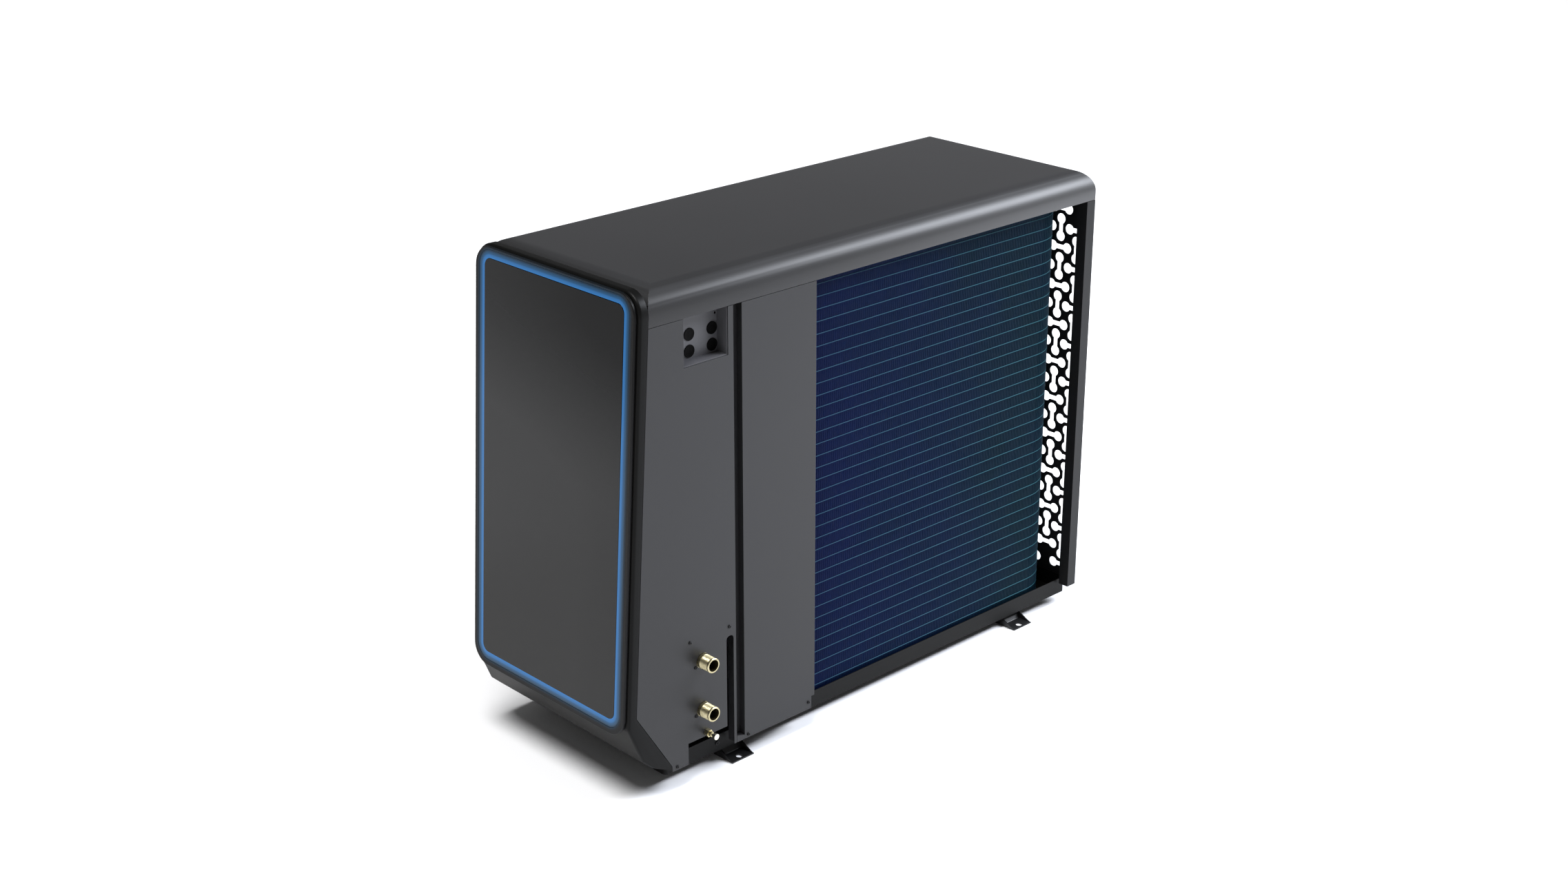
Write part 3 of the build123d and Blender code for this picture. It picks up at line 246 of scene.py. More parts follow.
def surface(name, colour, second, rough, grain_mm, height_mm, metal=0.0, spread=0.06,
            stretch=(1, 1, 1), patch_mm=180, **sockets):
    """A finish with a fine grain in its relief and slow patches in its colour and gloss."""
    material, tree, shader, place = blank(name)
    drawn = add_node(tree, "ShaderNodeMapping", inputs={"Vector": place, "Scale": stretch})
    patches = add_node(tree, "ShaderNodeTexNoise", inputs={
        "Vector": place, "Scale": 1 / (patch_mm * MM), "Detail": 3.0})
    grain = add_node(tree, "ShaderNodeTexNoise", inputs={
        "Vector": drawn.outputs["Vector"], "Scale": 1 / (grain_mm * MM), "Detail": 2.0})
    tone = add_node(tree, "ShaderNodeMix", {"data_type": "RGBA"}, {
        "Factor": patches.outputs["Fac"], 6: linear(colour), 7: linear(second)})
    gloss = add_node(tree, "ShaderNodeMapRange", inputs={
        "Value": patches.outputs["Fac"], "To Min": rough - spread, "To Max": rough + spread})
    relief = add_node(tree, "ShaderNodeBump", inputs={
        "Height": grain.outputs["Fac"], "Distance": height_mm * MM, "Strength": 1.0})
    tree.links.new(tone.outputs[2], shader.inputs["Base Color"])
    tree.links.new(gloss.outputs["Result"], shader.inputs["Roughness"])
    tree.links.new(relief.outputs["Normal"], shader.inputs["Normal"])
    shader.inputs["Metallic"].default_value = metal
    for socket, value in sockets.items():
        shader.inputs[socket.replace("_", " ")].default_value = value
    return material


# %% [markdown]
# ## Finishes of the cabinet
# The sheets are powder coated: dry paint baked on steel, a satin skin with a very fine orange peel.
# Real orange peel is about 0.8 mm across, and here it is drawn at 1.6 mm so that it shows at all.
# The cover and the rear guard are one coat with the panels: the cover is drawn lighter as painted
# light on its top, and the guard darker as painted shade. The front rim and the tray are near black,
# darkened further as painted shade, and the feet are dipped e-coat, which is thinner than paint.

# %% Painted metals
finishes = {}
# powder-coated steel, dark grey: soft broad highlights along bends
finishes["cabinet_grey"] = surface("powder_coat_graphite", "#1f1f20", "#232325", 0.38, 1.6, 0.02,
                                   spread=0.03, Specular_IOR_Level=0.27)
# the same coat on the cover, drawn lighter as painted light on its top, with a finer skin
painted_light_cover_grey = surface("powder_coat_cover", "#262627", "#2a2a2b", 0.41, 1.6, 0.015, spread=0.03,
                     Specular_IOR_Level=0.28)
# and on the rear guard, drawn darker as painted shade, and duller
painted_shade_guard_grey = surface("powder_coat_guard", "#0f0f10", "#131314", 0.46, 1.6, 0.02,
                     Specular_IOR_Level=0.2)
# powder-coated steel, near black, darkened further as painted shade on the chin and on the tray under
# the panels
finishes["cabinet_dark"] = surface("powder_coat_black_grey", "#080808", "#0c0c0b", 0.42, 1.6, 0.02,
                                   Specular_IOR_Level=0.1)
# the same coat on the small recessed plate for the cables, drawn lighter as painted light in its recess
painted_light_plate_grey = surface("powder_coat_mid_grey", "#4a4a4d", "#505053", 0.44, 1.6, 0.02,
                     Specular_IOR_Level=0.26)
# e-coated steel: thin, black, slightly glossy
finishes["steel_black"] = surface("e_coat_black", "#0d0d0e", "#131314", 0.38, 2.4, 0.01)
# black zinc on screws: dull metal with a dark sheen
finishes["screw_black"] = surface("black_zinc", "#1a1a1b", "#101011", 0.42, 0.8, 0.01, metal=0.6)
print(len(finishes), "painted finishes")

# %% [markdown]
# ## Plastics, rubber, glass
# Fan blades are glass-filled nylon with a fine moulded grain, grommets are rubber, and the circuit
# board has a green solder mask.

# %% Plastics and rubber
# moulded nylon: even black with a light-scattering grain
finishes["plastic_black"] = surface("moulded_nylon_black", "#18181a", "#1f1f21", 0.52, 0.9, 0.03)
# nitrile rubber: matte and very dark
finishes["rubber_black"] = surface("nitrile_rubber", "#020202", "#040404", 0.6, 0.7, 0.03,
                                   Specular_IOR_Level=0.06)
# PVC, moulded: mid grey, faint gloss
finishes["pvc_grey"] = surface("pvc_grey", "#8d9093", "#84878a", 0.36, 3.0, 0.02)
# solder mask over copper-clad board: bright green gloss
finishes["board_green"] = surface("solder_mask_green", "#0f5a33", "#0b4a2a", 0.30, 2.2, 0.05)
print(len(finishes), "finishes so far")

# %% [markdown]
# ## Metals
# Brass fittings are turned, so their marks run round the bore; copper pipe is drawn, with long soft
# streaks; zinc coat has a spangle of crystals a few millimetres across. Metals keep the default IOR,
# because their colour is in the reflection.

# %% Metals
# machined brass, a little dulled: pale yellow with mottled reflections
finishes["brass"] = surface("machined_brass", "#cbc2a0", "#958b68", 0.34, 0.9, 0.03, metal=1.0,
                            stretch=(3, 1, 1), patch_mm=6)
# painted shade in the bore: dark brown and not metallic
painted_bore_shade = surface("oxidised_brass", "#2b2410", "#1c170a", 0.6, 2.0, 0.02, Specular_IOR_Level=0.2)
# drawn copper: warm, slightly tarnished
finishes["copper"] = surface("drawn_copper", "#c98562", "#a9694c", 0.30, 3.0, 0.004, metal=1.0,
                             patch_mm=60)
# zinc-coated steel: grey spangle
finishes["galvanised"] = surface("zinc_coat", "#b9bcbf", "#a3a7ab", 0.40, 6.0, 0.004, metal=1.0,
                                 patch_mm=9)
# turned bright steel: fine rings
finishes["steel_bright"] = surface("turned_steel", "#c4c5c7", "#b5b6b8", 0.26, 0.6, 0.003,
                                   metal=1.0, stretch=(8, 1, 1), patch_mm=25)
# cast aluminium under grey paint: pebbled skin
finishes["motor_grey"] = surface("painted_casting", "#6c6e71", "#626467", 0.48, 2.2, 0.12)
# drawn titanium: brown-grey, soft sheen
finishes["titanium"] = surface("drawn_titanium", "#a39c94", "#948d86", 0.34, 2.4, 0.004, metal=1.0,
                               patch_mm=40)
# nickel plate: bright and a little warm
finishes["nickel"] = surface("nickel_plate", "#dcdacb", "#cfcdbe", 0.20, 1.2, 0.004, metal=1.0,
                             patch_mm=12)
# extruded aluminium: straight die lines
finishes["aluminium_plain"] = surface("extruded_aluminium", "#d0d1d3", "#c3c4c6", 0.32, 0.8, 0.006,
                                      metal=1.0, stretch=(12, 1, 12), patch_mm=30)
print(len(finishes), "finishes so far")

# %% [markdown]
# ## Fins
# Coil fins are aluminium foil with a blue water-shedding coat. The coat shifts from navy to teal
# along the coil, as dipped coats do, so a slow gradient along Y is mixed with patches of noise.

# %% Blue fin coat
drift_start, drift_end = -0.19, 0.49
fin_specular = 0.2


def fin_coat(name, near, far, rough, spread=0.05):
    """Coated foil whose colour drifts from one blue to another along the coil."""
    material, tree, shader, place = blank(name)
    along = add_node(tree, "ShaderNodeSeparateXYZ", inputs={"Vector": place})
    drift = add_node(tree, "ShaderNodeMapRange", inputs={
        "Value": along.outputs["Y"], "From Min": drift_start, "From Max": drift_end})
    patches = add_node(tree, "ShaderNodeTexNoise", inputs={
        "Vector": place, "Scale": 1 / (120 * MM), "Detail": 3.0})
    mixed = add_node(tree, "ShaderNodeMath", {"operation": "MULTIPLY_ADD"}, {
        0: patches.outputs["Fac"], 1: 0.6, 2: drift.outputs["Result"]})
    eased = add_node(tree, "ShaderNodeMapRange", inputs={
        "Value": mixed.outputs["Value"], "From Min": 0.25, "From Max": 1.2})
    tone = add_node(tree, "ShaderNodeMix", {"data_type": "RGBA"}, {
        "Factor": eased.outputs["Result"], 6: linear(near), 7: linear(far)})
    gloss = add_node(tree, "ShaderNodeMapRange", inputs={
        "Value": patches.outputs["Fac"], "To Min": rough - spread, "To Max": rough + spread})
    tree.links.new(tone.outputs[2], shader.inputs["Base Color"])
    tree.links.new(gloss.outputs["Result"], shader.inputs["Roughness"])
    shader.inputs["Specular IOR Level"].default_value = fin_specular
    return material


finishes["fin_blue"] = fin_coat("hydrophilic_foil", "#091e52", "#0b2a3a", 0.55)
# the collars: the fin coat drawn lighter teal, partly a painted highlight on the level lines
painted_highlight_collar_coat = fin_coat("coated_collars", "#09324c", "#0b424e", 0.65)
print("fin coat and collar coat made")

# %% [markdown]
# ## Glass and lit border
# The glass is smoked, and its colour holds a painted reflection of the pale floor: nearly black along
# its top and a soft grey lower down. The same painted reflection lies over the border and the diffuser.
# A blue light strip shines into a diffuser round the glass. The light is strongest against the glass
# and dies away outwards over 20 mm on the diffuser, and beside it the border carries painted light.
# So both finishes share one glow: the distance from the glass, a rounded rectangle, measured on the
# leaning face. On the border the glow is painted light from the diffuser, the same from every side.

# %% Painted reflection down the glass
glass_low, glass_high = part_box("front_glass")
lean = math.radians(3.84)
glass_corner = 15 * MM
glass_half = Vector(((glass_high.x - glass_low.x) / 2, 0,
                     (glass_high.z - glass_low.z) / 2 / math.cos(lean)))
glass_middle_z = (glass_low.z + glass_high.z) / 2
reflection_top = glass_high.z - 20 * MM
smoked_specular = 0.14


def painted_reflection(tree, place, dark, pale):
    """Painted reflection: a colour that pales from the top right of the glass, down and to the left."""
    parts = add_node(tree, "ShaderNodeSeparateXYZ", inputs={"Vector": place})
    down = add_node(tree, "ShaderNodeMapRange", {"interpolation_type": "SMOOTHSTEP"}, {
        "Value": parts.outputs["Z"], "From Min": reflection_top,
        "From Max": glass_low.z + 0.5 * (glass_high.z - glass_low.z)})
    across = add_node(tree, "ShaderNodeMapRange", inputs={
        "Value": parts.outputs["X"], "From Min": glass_high.x, "From Max": glass_low.x,
        "To Min": -0.12, "To Max": 0.28})
    both = add_node(tree, "ShaderNodeMath", {"operation": "ADD", "use_clamp": True}, {
        0: down.outputs["Result"], 1: across.outputs["Result"]})
    tone = add_node(tree, "ShaderNodeMix", {"data_type": "RGBA"}, {
        "Factor": both.outputs["Value"], 6: linear(dark), 7: linear(pale)})
    return tone.outputs[2]


# smoked glass: mirror-smooth, with a painted reflection that pales lower down
glass, glass_tree, glass_shader, glass_place = blank("smoked_glass")
glass_tree.links.new(painted_reflection(glass_tree, glass_place, "#020202", "#323232"),
                     glass_shader.inputs["Base Color"])
waviness = add_node(glass_tree, "ShaderNodeTexNoise", inputs={
    "Vector": glass_place, "Scale": 1 / (90 * MM)})
glass_gloss = add_node(glass_tree, "ShaderNodeMapRange", inputs={
    "Value": waviness.outputs["Fac"], "To Min": 0.12, "To Max": 0.18})
glass_tree.links.new(glass_gloss.outputs["Result"], glass_shader.inputs["Roughness"])
glass_shader.inputs["Specular IOR Level"].default_value = smoked_specular
finishes["glass_smoked"] = glass
print("glass is", round(2 * glass_half.z / MM), "mm long on its slope")

# %% Glow round the glass
glow_reach = 20 * MM
# the first two stops are the ramp's own ends
glow_stops = [(0.0, "#2a74b6"), (1.0, "#000000"), (0.22, "#2668a4"), (0.42, "#174a70"),
              (0.7, "#0a2334")]


def glow_finish(name, dark, pale, rough):
    """A dark plastic that also shines, fading with the distance from the glass, under a painted
    reflection.
    """
    material, tree, shader, place = blank(name)
    centred = add_node(tree, "ShaderNodeMapping", inputs={
        "Vector": place, "Location": (0, 0, -glass_middle_z / math.cos(lean)),
        "Scale": (1, 0, 1 / math.cos(lean))})
    folded = add_node(tree, "ShaderNodeVectorMath", {"operation": "ABSOLUTE"},
                      {0: centred.outputs["Vector"]})
    inner = (glass_half.x - glass_corner, 0, glass_half.z - glass_corner)
    past = add_node(tree, "ShaderNodeVectorMath", {"operation": "SUBTRACT"},
                    {0: folded.outputs["Vector"], 1: inner})
    outside = add_node(tree, "ShaderNodeVectorMath", {"operation": "MAXIMUM"},
                       {0: past.outputs["Vector"], 1: (0, 0, 0)})
    length = add_node(tree, "ShaderNodeVectorMath", {"operation": "LENGTH"},
                      {0: outside.outputs["Vector"]})
    distance = add_node(tree, "ShaderNodeMapRange", inputs={
        "Value": length.outputs["Value"], "From Min": glass_corner,
        "From Max": glass_corner + glow_reach})
    ramp = add_node(tree, "ShaderNodeValToRGB", inputs={"Fac": distance.outputs["Result"]})
    ramp.color_ramp.interpolation = "EASE"
    elements = ramp.color_ramp.elements
    for index, (position, shade) in enumerate(glow_stops):
        element = elements[index] if index < 2 else elements.new(position)
        element.position = position
        element.color = linear(shade)
    tree.links.new(ramp.outputs["Color"], shader.inputs["Emission Color"])
    shader.inputs["Emission Strength"].default_value = 1.0
    tree.links.new(painted_reflection(tree, place, dark, pale), shader.inputs["Base Color"])
    shader.inputs["Roughness"].default_value = rough
    shader.inputs["Specular IOR Level"].default_value = smoked_specular
    grain = add_node(tree, "ShaderNodeTexNoise", inputs={"Vector": place, "Scale": 1 / (2 * MM)})
    relief = add_node(tree, "ShaderNodeBump", inputs={
        "Height": grain.outputs["Fac"], "Distance": 0.01 * MM})
    tree.links.new(relief.outputs["Normal"], shader.inputs["Normal"])
    return material


# opal acrylic, lit from behind: bright at the glass, dim at its rim, under a painted reflection
finishes["light_blue"] = glow_finish("opal_acrylic_lit", "#020407", "#34383c", 0.45)
# satin acrylic border: dark grey under a painted reflection, with painted blue light beside the diffuser
finishes["border_dark"] = glow_finish("satin_acrylic_border", "#080808", "#1b1b1c", 0.42)
print("glow reaches", round(glow_reach / MM), "mm from the glass")

# %% [markdown]
# ## Finishes on the CAD nodes
# Every node takes the finish of its slot in the record, also those inside, which show through the
# guard and the grille.

# %% Assign the finishes
def coat(piece, slot):
    """Give a piece the finish of a slot."""
    piece.data.materials.clear()
    piece.data.materials.append(finishes[slot])
    return piece


for node, thing in frame["nodes"].items():
    coat(thing, slot_of[node])
# the rear guard takes the darker coat, painted shade
frame["nodes"]["rear_guard"].data.materials[0] = painted_shade_guard_grey
print(len(frame["nodes"]), "nodes have their finish")

# %% [markdown]
# ## Camera and floor
# The camera stands in front of the service side and looks down a little. A wide pale floor fills the
# whole view behind the unit, so no horizon shows.

# %% Camera and floor
bpy.context.scene.view_settings.view_transform = "Standard"
rear_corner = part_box("top_cover")[1]
from_corner = Vector((2.42881, -3.10415, 1.01284))
camera_tilt, camera_turn = math.radians(68.3359), math.radians(46.4256)
camera_data = bpy.data.cameras.new("camera")
camera_data.lens = 50
camera_data.sensor_width = 36
camera_data.clip_end = 200
camera = bpy.data.objects.new("camera", camera_data)
bpy.context.scene.collection.objects.link(camera)
camera.location = rear_corner + from_corner
camera.rotation_euler = (camera_tilt, 0, camera_turn)
bpy.context.scene.camera = camera

floor_size = 80
floor_gap = 0.2 * MM
floor = primitive("plane", "studio_floor", size=floor_size)
floor.data.transform(Matrix.Translation((0, 0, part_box("front_foot_rail")[0].z - floor_gap)))
floor.data.materials.append(surface("pale_floor", "#f4f4f5", "#f1f1f2", 0.6, 40, 0.0, patch_mm=900))
floor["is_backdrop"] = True
print("camera at", [round(v, 3) for v in camera.location])

# %% [markdown]
# ## Light
# A pale world fills every side, white at the horizon and greyer overhead, as a studio sweep is.
# A wide sun from above makes the soft shadow under the leaning front. One long, narrow softbox hangs
# behind the unit and draws the bright line along the rounded edge of the cover: it sits where that
# edge mirrors it to the front, and its length runs with it.

# %% World, overhead light and edge softbox
world = bpy.data.worlds.new("studio")
bpy.context.scene.world = world
world.use_nodes = True
sky = world.node_tree
toward = add_node(sky, "ShaderNodeSeparateXYZ", inputs={
    "Vector": add_node(sky, "ShaderNodeTexCoord").outputs["Generated"]})
rise = add_node(sky, "ShaderNodeMapRange", {"interpolation_type": "SMOOTHSTEP"}, {
    "Value": toward.outputs["Z"], "From Min": 0.02, "From Max": 0.22, "To Min": 1.0, "To Max": 0.12})
sky.links.new(rise.outputs["Result"], sky.nodes["Background"].inputs["Strength"])
sky.nodes["Background"].inputs["Color"].default_value = linear("#ffffff")


def lamp(name, kind, direction, distance, across=(1, 0, 0), **settings):
    """A light that looks at the middle of the unit, with its width lying along `across`."""
    data = bpy.data.lights.new(name, kind)
    for option, value in settings.items():
        setattr(data, option, value)
    light = bpy.data.objects.new(name, data)
    bpy.context.scene.collection.objects.link(light)
    outward = Vector(direction).normalized()
    length_axis = outward.cross(Vector(across)).normalized()
    width_axis = length_axis.cross(outward)
    light.location = (cad_low + cad_high) / 2 + distance * outward
    light.rotation_euler = Matrix((width_axis, length_axis, outward)).transposed().to_euler()
    return light


lamp("overhead", "SUN", (0.05, -0.28, 1.0), 5, energy=3.5, angle=math.radians(26))
lamp("edge_softbox", "AREA", (0.46, 0.67, 0.59), 4.2, across=(0.753, 0, -0.657), energy=370,
     shape="RECTANGLE", size=1.25, size_y=3.8, color=(0.88, 0.92, 1.0))
print("a pale world and", len(bpy.data.lights), "lamps")

# %% [markdown]
# ## Top cover
# One steel sheet is folded over the cabinet with a 40 mm bend along each side and a closed back.
# A box is the start: its two long top edges are bevelled to the bend, its underside is taken away,
# a leaning plane trims its front, and Solidify gives it the sheet's thickness inwards.

# %% Fold the cover
cover_low, cover_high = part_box("top_cover")
sheet = 1.5 * MM
bend = 40 * MM
cover_edge = 0.5 * MM
cover = primitive("cube", "top_cover_formed", at=(cover_low + cover_high) / 2,
                  scale=(cover_high - cover_low) / 2, size=2)
choose(cover, "edges", lambda e: all(v.z > cover_high.z - MM for v in corners(cover, e))
       and abs(corners(cover, e)[0].y - corners(cover, e)[1].y) > MM)
bpy.ops.mesh.bevel(offset=bend, segments=20, affect="EDGES")
choose(cover, "polygons", lambda f: f.normal.z < -0.9 or f.normal.y < -0.9)
bpy.ops.mesh.delete(type="FACE")
front_edge = Vector((0, cover_low.y, cover_low.z))
bpy.ops.mesh.select_all(action="SELECT")
bpy.ops.mesh.bisect(plane_co=front_edge, plane_no=(0, -math.cos(lean), math.sin(lean)),
                    clear_outer=True)
bpy.ops.mesh.select_all(action="SELECT")
bpy.ops.mesh.remove_doubles(threshold=MERGE_DISTANCE)
bpy.ops.mesh.normals_make_consistent(inside=False)
modify(cover, "SOLIDIFY", thickness=sheet, offset=-1, use_even_offset=True)
modify(cover, "BEVEL", width=cover_edge, segments=2, limit_method="ANGLE",
       angle_limit=math.radians(50))
smooth(cover, 30)
stand_for(coat(cover, "cabinet_grey"), "top_cover")
# the cover takes the lighter coat, painted light on its top
cover.data.materials[0] = painted_light_cover_grey
print("cover has", len(cover.data.polygons), "faces")

# %% [markdown]
# ## Side sheets, tray and feet
# The panels are blanked and folded, so only their edges are broken. The tray's rim and the foot
# rails are thicker and rounder. A punched slot has round ends, so the two top corners of the pipe
# slot are bevelled to an arc first; the record's opening tells where the slot is.

# %% Round the top of the pipe slot
slot_low, slot_high = (Vector(corner) for space in frame["record"]["physics"]["openings"]
                       if space["name"] == "pipe_slot" for corner in space["box_m"])
slot_margin = 3 * MM
slot_end_radius = 7 * MM
service = welded("service_panel", "service_panel_formed")


def at_slot_top(point):
    """True beside either top corner of the slot."""
    aside = min(abs(point.y - slot_low.y), abs(point.y - slot_high.y))
    return aside < slot_margin and abs(point.z - slot_high.z) < slot_margin


count = choose(service, "edges", lambda e: all(at_slot_top(v) for v in corners(service, e))
               and abs(corners(service, e)[0].x - corners(service, e)[1].x) > MM)
bpy.ops.mesh.bevel(offset=slot_end_radius, segments=6, affect="EDGES")
bpy.ops.object.mode_set(mode="OBJECT")
coat(formed("service_panel", 0.5 * MM, piece=service), slot_of["service_panel"])
print("rounded", count, "corners of the slot")

# %% Break the edges of the sheets
edge_radius_mm = {
    "side_panel": 0.5, "left_panel": 0.5, "fan_panel": 0.5, "cable_plate": 0.4, "base_tray": 0.6,
    "front_foot_rail": 0.9, "rear_foot_rail": 0.9, "coil_end_plates": 0.4, "electrical_box": 0.4,
    "electrical_lid": 0.4, "motor_bracket": 0.6}
for node, radius in edge_radius_mm.items():
    piece = coat(formed(node, radius * MM), slot_of[node])
    if node == "cable_plate":
        # the cable plate takes the lighter coat, painted light in its recess
        piece.data.materials[0] = painted_light_plate_grey
    print(piece.name, len(piece.data.polygons), "faces")

# %% [markdown]
# ## Brass nipples
# The nipples are turned from bar: a thread outside and a drilled bore. The faces of the bore are the
# ones close to the axis that don't look along it, and they take a dark brown painted shade, so the
# hole reads dark.

# %% Painted shade in the bores
thread_edge = 0.25 * MM
bore_reach = 10.6 * MM
for node in ("water_inlet", "water_outlet"):
    nipple = coat(formed(node, thread_edge, angle=50), "brass")
    # painted shade for the faces of the bore
    nipple.data.materials.append(painted_bore_shade)
    nipple_low, nipple_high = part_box(node)
    axis = (nipple_low + nipple_high) / 2
    bore_faces = 0
    for face in nipple.data.polygons:
        from_axis = Vector((0, face.center.y - axis.y, face.center.z - axis.z))
        if from_axis.length < bore_reach and abs(face.normal.x) < 0.3:
            face.material_index = 1
            bore_faces += 1
    print(nipple.name, "has", bore_faces, "faces in its bore")

# %% [markdown]
# ## Front frame
# The frame is a moulded shell round the leaning face. Its outer rim is rounded by 5 mm, while the
# edges that meet the panels stay crisp. So only the edges near the face plane and down the chin are
# chosen, and the inner ones are left out by their distance from the outside.

# %% Round the rim of the frame
front = welded("front_frame", "front_frame_formed")
frame_low, frame_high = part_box("front_frame")
rim_radius = 5 * MM
face_y = glass_low.y - glass_low.z * math.tan(lean)
chin_z = 151 * MM
chin_depth = 60 * MM
rim_depth = 9 * MM
touching = 0.3 * MM


def sharp_edges(piece, angle):
    """The pairs of vertices of the edges whose faces meet at more than an angle."""
    normals = {}
    for face in piece.data.polygons:
        for key in face.edge_keys:
            normals.setdefault(key, []).append(face.normal)
    return {key for key, pair in normals.items()
            if len(pair) == 2 and pair[0].angle(pair[1], 0) > math.radians(angle)}


def on_rim(point):
    """True on the outer outline of the frame's front, from the chin up to the top."""
    depth = point.y - face_y - point.z * math.tan(lean)
    outer_side = abs(abs(point.x) - frame_high.x) < touching
    top_arc = (Vector((abs(point.x), point.z)) - Vector((frame_high.x - bend, frame_high.z - bend)))
    on_arc = min(top_arc) > -0.1 * MM and top_arc.length > bend - 1.0 * MM
    on_top = point.z > frame_high.z - touching
    near_face = depth < rim_depth
    below = point.z < chin_z and point.y < frame_low.y + chin_depth
    return (outer_side or on_arc or on_top) and (near_face or below)


sharp = sharp_edges(front, 25)
count = choose(front, "edges", lambda e: tuple(sorted(e.vertices)) in sharp
               and all(on_rim(v) for v in corners(front, e)))
bpy.ops.mesh.bevel(offset=rim_radius, segments=6, affect="EDGES", clamp_overlap=True)
bpy.ops.object.mode_set(mode="OBJECT")
smooth(front)
# the near-black coat, darkened as painted shade under the chin
stand_for(coat(front, "cabinet_dark"), "front_frame")
print("rounded", count, "edges of the rim")

# %% [markdown]
# ## Glass, diffuser and border
# The three lie in one leaning plane. Each gets a small polished edge, which draws the thin lines
# between them. Faces over 1 cm2 are shaded flat, so nothing ripples in the gloss.

# %% Polished edges of the face
large_face = 100e-6
for node, radius in (("front_glass", 0.8), ("light_ring", 0.3), ("front_plate", 1.2)):
    piece = coat(formed(node, radius * MM, steps=3), slot_of[node])
    pick(piece)
    bpy.ops.mesh.customdata_custom_splitnormals_clear()
    for face in piece.data.polygons:
        face.use_smooth = face.area < large_face
    print(piece.name, len(piece.data.polygons), "faces")

# %% [markdown]
# ## Fins of the coil
# A coil holds hundreds of foil fins at about 2 mm. One fin is modelled and copied along the L of the
# coil: a plane is subdivided across, its ribs are pushed sideways, and Solidify makes it foil.
# They are drawn 2.6 mm apart, because finer ones would only shimmer. The collars where the tubes
# pass stand a little proud of the face and draw the level lines across it, in a lighter teal that is
# partly painted highlight.

# %% One fin
coil_low, coil_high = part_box("evaporator_fins")
coil_depth = 40 * MM
corner_radius = 80 * MM
mid_radius = corner_radius - coil_depth / 2
fin_pitch = 2.6 * MM
foil = 0.5 * MM
rib = 0.7 * MM
coil_height = coil_high.z - coil_low.z
leg_x = coil_high.x - coil_depth / 2
leg_y = coil_high.y - coil_depth / 2
corner_centre = Vector((coil_high.x - corner_radius, coil_high.y - corner_radius, 0))

fin = primitive("plane", "fin", size=1, rotation=(math.pi / 2, 0, 0))
fin.data.transform(Matrix.Diagonal((coil_depth, 1, coil_height, 1)))
choose(fin, "edges", lambda e: abs(corners(fin, e)[0].x - corners(fin, e)[1].x) > MM)
bpy.ops.mesh.subdivide(number_cuts=3)
choose(fin, "vertices", lambda v: abs(abs(v.co.x) - coil_depth / 4) < MM)
bpy.ops.transform.translate(value=(0, rib, 0))
modify(fin, "SOLIDIFY", thickness=foil, offset=0)
fin.data.transform(Matrix.Translation((0, 0, coil_low.z + coil_height / 2)))
print("one fin has", len(fin.data.polygons), "faces")

# %% Copy the fin along the coil
fin_places = []
start_y = coil_low.y + fin_pitch
while start_y < corner_centre.y:
    fin_places.append(Matrix.Translation((leg_x, start_y, 0)))
    start_y += fin_pitch
corner_steps = round(mid_radius * math.pi / 2 / fin_pitch)
for step in range(corner_steps):
    turn = (step + 0.5) / corner_steps * math.pi / 2
    fin_places.append(Matrix.Translation(corner_centre) @ Matrix.Rotation(turn, 4, "Z")
                      @ Matrix.Translation((mid_radius, 0, 0)))
start_x = corner_centre.x - fin_pitch / 2
while start_x > coil_low.x + fin_pitch:
    fin_places.append(Matrix.Translation((start_x, leg_y, 0)) @ Matrix.Rotation(math.pi / 2, 4, "Z"))
    start_x -= fin_pitch
fins = join([copy_moved(fin, place) for place in fin_places], "evaporator_fins_folded")
bpy.data.objects.remove(fin)
stand_for(coat(fins, "fin_blue"), "evaporator_fins")
print(len(fin_places), "fins,", len(fins.data.polygons), "faces")

# %% [markdown]
# ## Tubes and collars
# A tube is drawn as it is bent: a circle is extruded along the side leg, spun round the corner and
# extruded along the rear leg. The same moves make the thin collar lines on both faces.

# %% Bend one tube
row_pitch = 22 * MM
row_count = round(coil_height / row_pitch)
column = 9.5 * MM
end_gap = 0.5 * MM
tube_radius = 4 * MM
collar_radius = 0.9 * MM
collar_offset = coil_depth / 2 - 0.3 * MM


def bent_rod(name, offset, radius, sides):
    """A rod that follows the coil at an offset from its middle, at height zero."""
    rod = primitive("circle", name, at=(leg_x + offset, coil_low.y + end_gap, 0), radius=radius,
                    vertices=sides, fill_type="NGON", rotation=(math.pi / 2, 0, 0))
    bpy.ops.object.mode_set(mode="EDIT")
    bpy.ops.mesh.select_all(action="SELECT")
    side_run = corner_centre.y - coil_low.y - end_gap
    bpy.ops.mesh.extrude_region_move(TRANSFORM_OT_translate={"value": (0, side_run, 0)})
    bpy.ops.mesh.spin(steps=8, angle=-math.pi / 2, center=corner_centre, axis=(0, 0, 1))
    rear_run = corner_centre.x - coil_low.x - end_gap
    bpy.ops.mesh.extrude_region_move(TRANSFORM_OT_translate={"value": (-rear_run, 0, 0)})
    bpy.ops.mesh.select_all(action="SELECT")
    bpy.ops.mesh.remove_doubles(threshold=MERGE_DISTANCE)
    bpy.ops.mesh.normals_make_consistent(inside=False)
    bpy.ops.object.mode_set(mode="OBJECT")
    return rod


def rows_of(rod, name):
    """The rod repeated at every row of the coil."""
    rows = [copy_moved(rod, Matrix.Translation((0, 0, coil_low.z + (row + 0.5) * row_pitch)))
            for row in range(row_count)]
    bpy.data.objects.remove(rod)
    return join(rows, name)


tubes = join([rows_of(bent_rod("tube", side * column, tube_radius, 10), "tubes")
              for side in (-1, 1)], "coil_tubes")
smooth(tubes)
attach(coat(tubes, "copper"), "cabinet")
collars = join([rows_of(bent_rod("collar", side * collar_offset, collar_radius, 6), "lines")
                for side in (-1, 1)], "coil_collars")
smooth(collars)
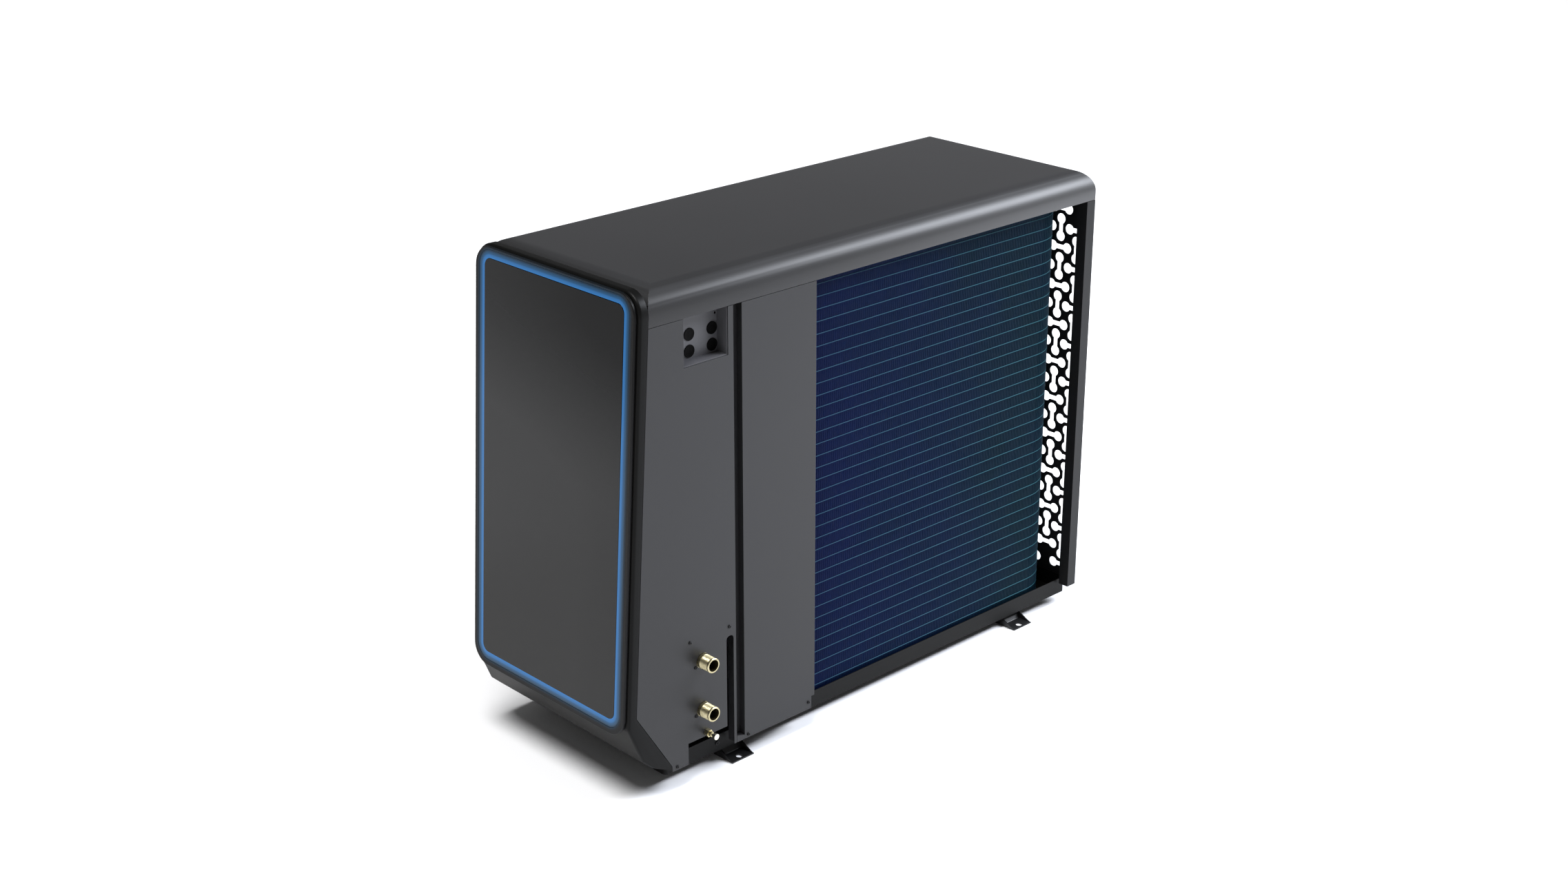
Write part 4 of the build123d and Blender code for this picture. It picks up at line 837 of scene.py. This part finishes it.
# the lighter teal coat, partly a painted highlight on the level lines
collars.data.materials.clear()
collars.data.materials.append(painted_highlight_collar_coat)
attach(collars, "cabinet")
print(row_count, "rows of tubes;", len(tubes.data.polygons) + len(collars.data.polygons), "faces")

# %% [markdown]
# ## Screws
# The CAD screws say where each head sits and how big it is. A pan head is a short cylinder whose rim
# is rounded over, with a cross recess pressed into it.

# %% Where the small parts are
def loose_boxes(node):
    """The lowest and highest corner of each separate solid in a CAD node."""
    piece = welded(node, "scratch")
    pick(piece)
    bpy.ops.mesh.separate(type="LOOSE")
    bpy.ops.object.mode_set(mode="OBJECT")
    found = []
    for part in list(bpy.context.selected_objects):
        points = [v.co for v in part.data.vertices]
        found.append(tuple(Vector(side(p[i] for p in points) for i in range(3))
                           for side in (min, max)))
        bpy.data.objects.remove(part)
    return sorted(found, key=lambda box: tuple(round(v, 4) for v in box[0]))


shank_length = 7 * MM


def pan_head(radius, height):
    """A pan head at the origin that looks along +X, with a cross recess and its shank."""
    head = primitive("cylinder", "head", vertices=24, radius=radius, depth=height,
                     rotation=(0, math.pi / 2, 0))
    choose(head, "edges", lambda e: all(v.x > height / 2 - 0.1 * MM for v in corners(head, e)))
    bpy.ops.mesh.bevel(offset=0.45 * height, segments=3, affect="EDGES")
    bpy.ops.object.mode_set(mode="OBJECT")
    arm, half_slot, cut_depth = 0.62 * radius, 0.16 * radius, 0.5 * height
    cutters = [primitive("cube", "cutter", at=(height / 2, 0, 0), size=2, scale=size)
               for size in ((cut_depth, arm, half_slot), (cut_depth, half_slot, arm))]
    for cutter in cutters:
        modify(head, "BOOLEAN", operation="DIFFERENCE", solver="EXACT", object=cutter)
        bpy.data.objects.remove(cutter)
    shank = primitive("cylinder", "shank", vertices=12, radius=0.5 * radius, depth=shank_length,
                      at=(-height / 2 - shank_length / 2, 0, 0), rotation=(0, math.pi / 2, 0))
    tip = -height / 2 - shank_length + MM
    choose(shank, "edges", lambda e: all(v.x < tip for v in corners(shank, e)))
    bpy.ops.mesh.bevel(offset=0.4 * MM, segments=1, affect="EDGES")
    bpy.ops.object.mode_set(mode="OBJECT")
    screw = join([head, shank], "screw")
    screw.data.transform(Matrix.Translation((height / 2, 0, 0)))
    smooth(screw)
    return screw


# %% Fit the screws
head_height = 2 * MM
screws = []
for low, high in loose_boxes("cabinet_screws"):
    radius = (high.y - low.y) / 2
    outward = 1 if high.x > 0 else -1
    seat = high.x - head_height if outward > 0 else low.x + head_height
    screw = pan_head(radius, head_height)
    turn = Matrix.Rotation(0 if outward > 0 else math.pi, 4, "Z")
    screw.data.transform(Matrix.Translation((seat, (low.y + high.y) / 2, (low.z + high.z) / 2)) @ turn)
    screws.append(screw)
cabinet_screws = join(screws, "cabinet_screws_pan_head")
stand_for(coat(cabinet_screws, "screw_black"), "cabinet_screws")
print(len(screws), "screws")

# %% [markdown]
# ## Grommets
# A grommet is a rubber plug with a thin membrane that the fitter pierces for a cable. A cylinder's
# face is inset and pushed in, inset again and raised, and the rim is rounded.

# %% Mould the grommets
rim_width = 2.2 * MM
membrane_drop = 0.9 * MM
membrane_width = 4.5 * MM
centre_rise = 0.5 * MM
centre_width = 1.2 * MM
rounding = 0.5 * MM
grommets = []
for low, high in loose_boxes("cable_grommets"):
    middle = (low + high) / 2
    radius = (high.y - low.y) / 2
    plug = primitive("cylinder", "plug", vertices=40, radius=radius, depth=high.x - low.x,
                     at=middle, rotation=(0, math.pi / 2, 0))
    choose(plug, "polygons", lambda f: f.normal.x > 0.9)
    bpy.ops.mesh.inset(thickness=rim_width)
    bpy.ops.transform.translate(value=(-membrane_drop, 0, 0))
    bpy.ops.mesh.inset(thickness=membrane_width)
    bpy.ops.transform.translate(value=(centre_rise, 0, 0))
    bpy.ops.mesh.inset(thickness=centre_width)
    bpy.ops.object.mode_set(mode="OBJECT")
    modify(plug, "BEVEL", width=rounding, segments=3, limit_method="ANGLE",
           angle_limit=math.radians(40))
    smooth(plug, 40)
    grommets.append(plug)
grommet_set = join(grommets, "cable_grommets_moulded")
stand_for(coat(grommet_set, "rubber_black"), "cable_grommets")
print(len(grommets), "grommets moulded")

# %% Sizes and finish
low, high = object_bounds()
print("visual box from", [round(v, 4) for v in low], "to", [round(v, 4) for v in high])
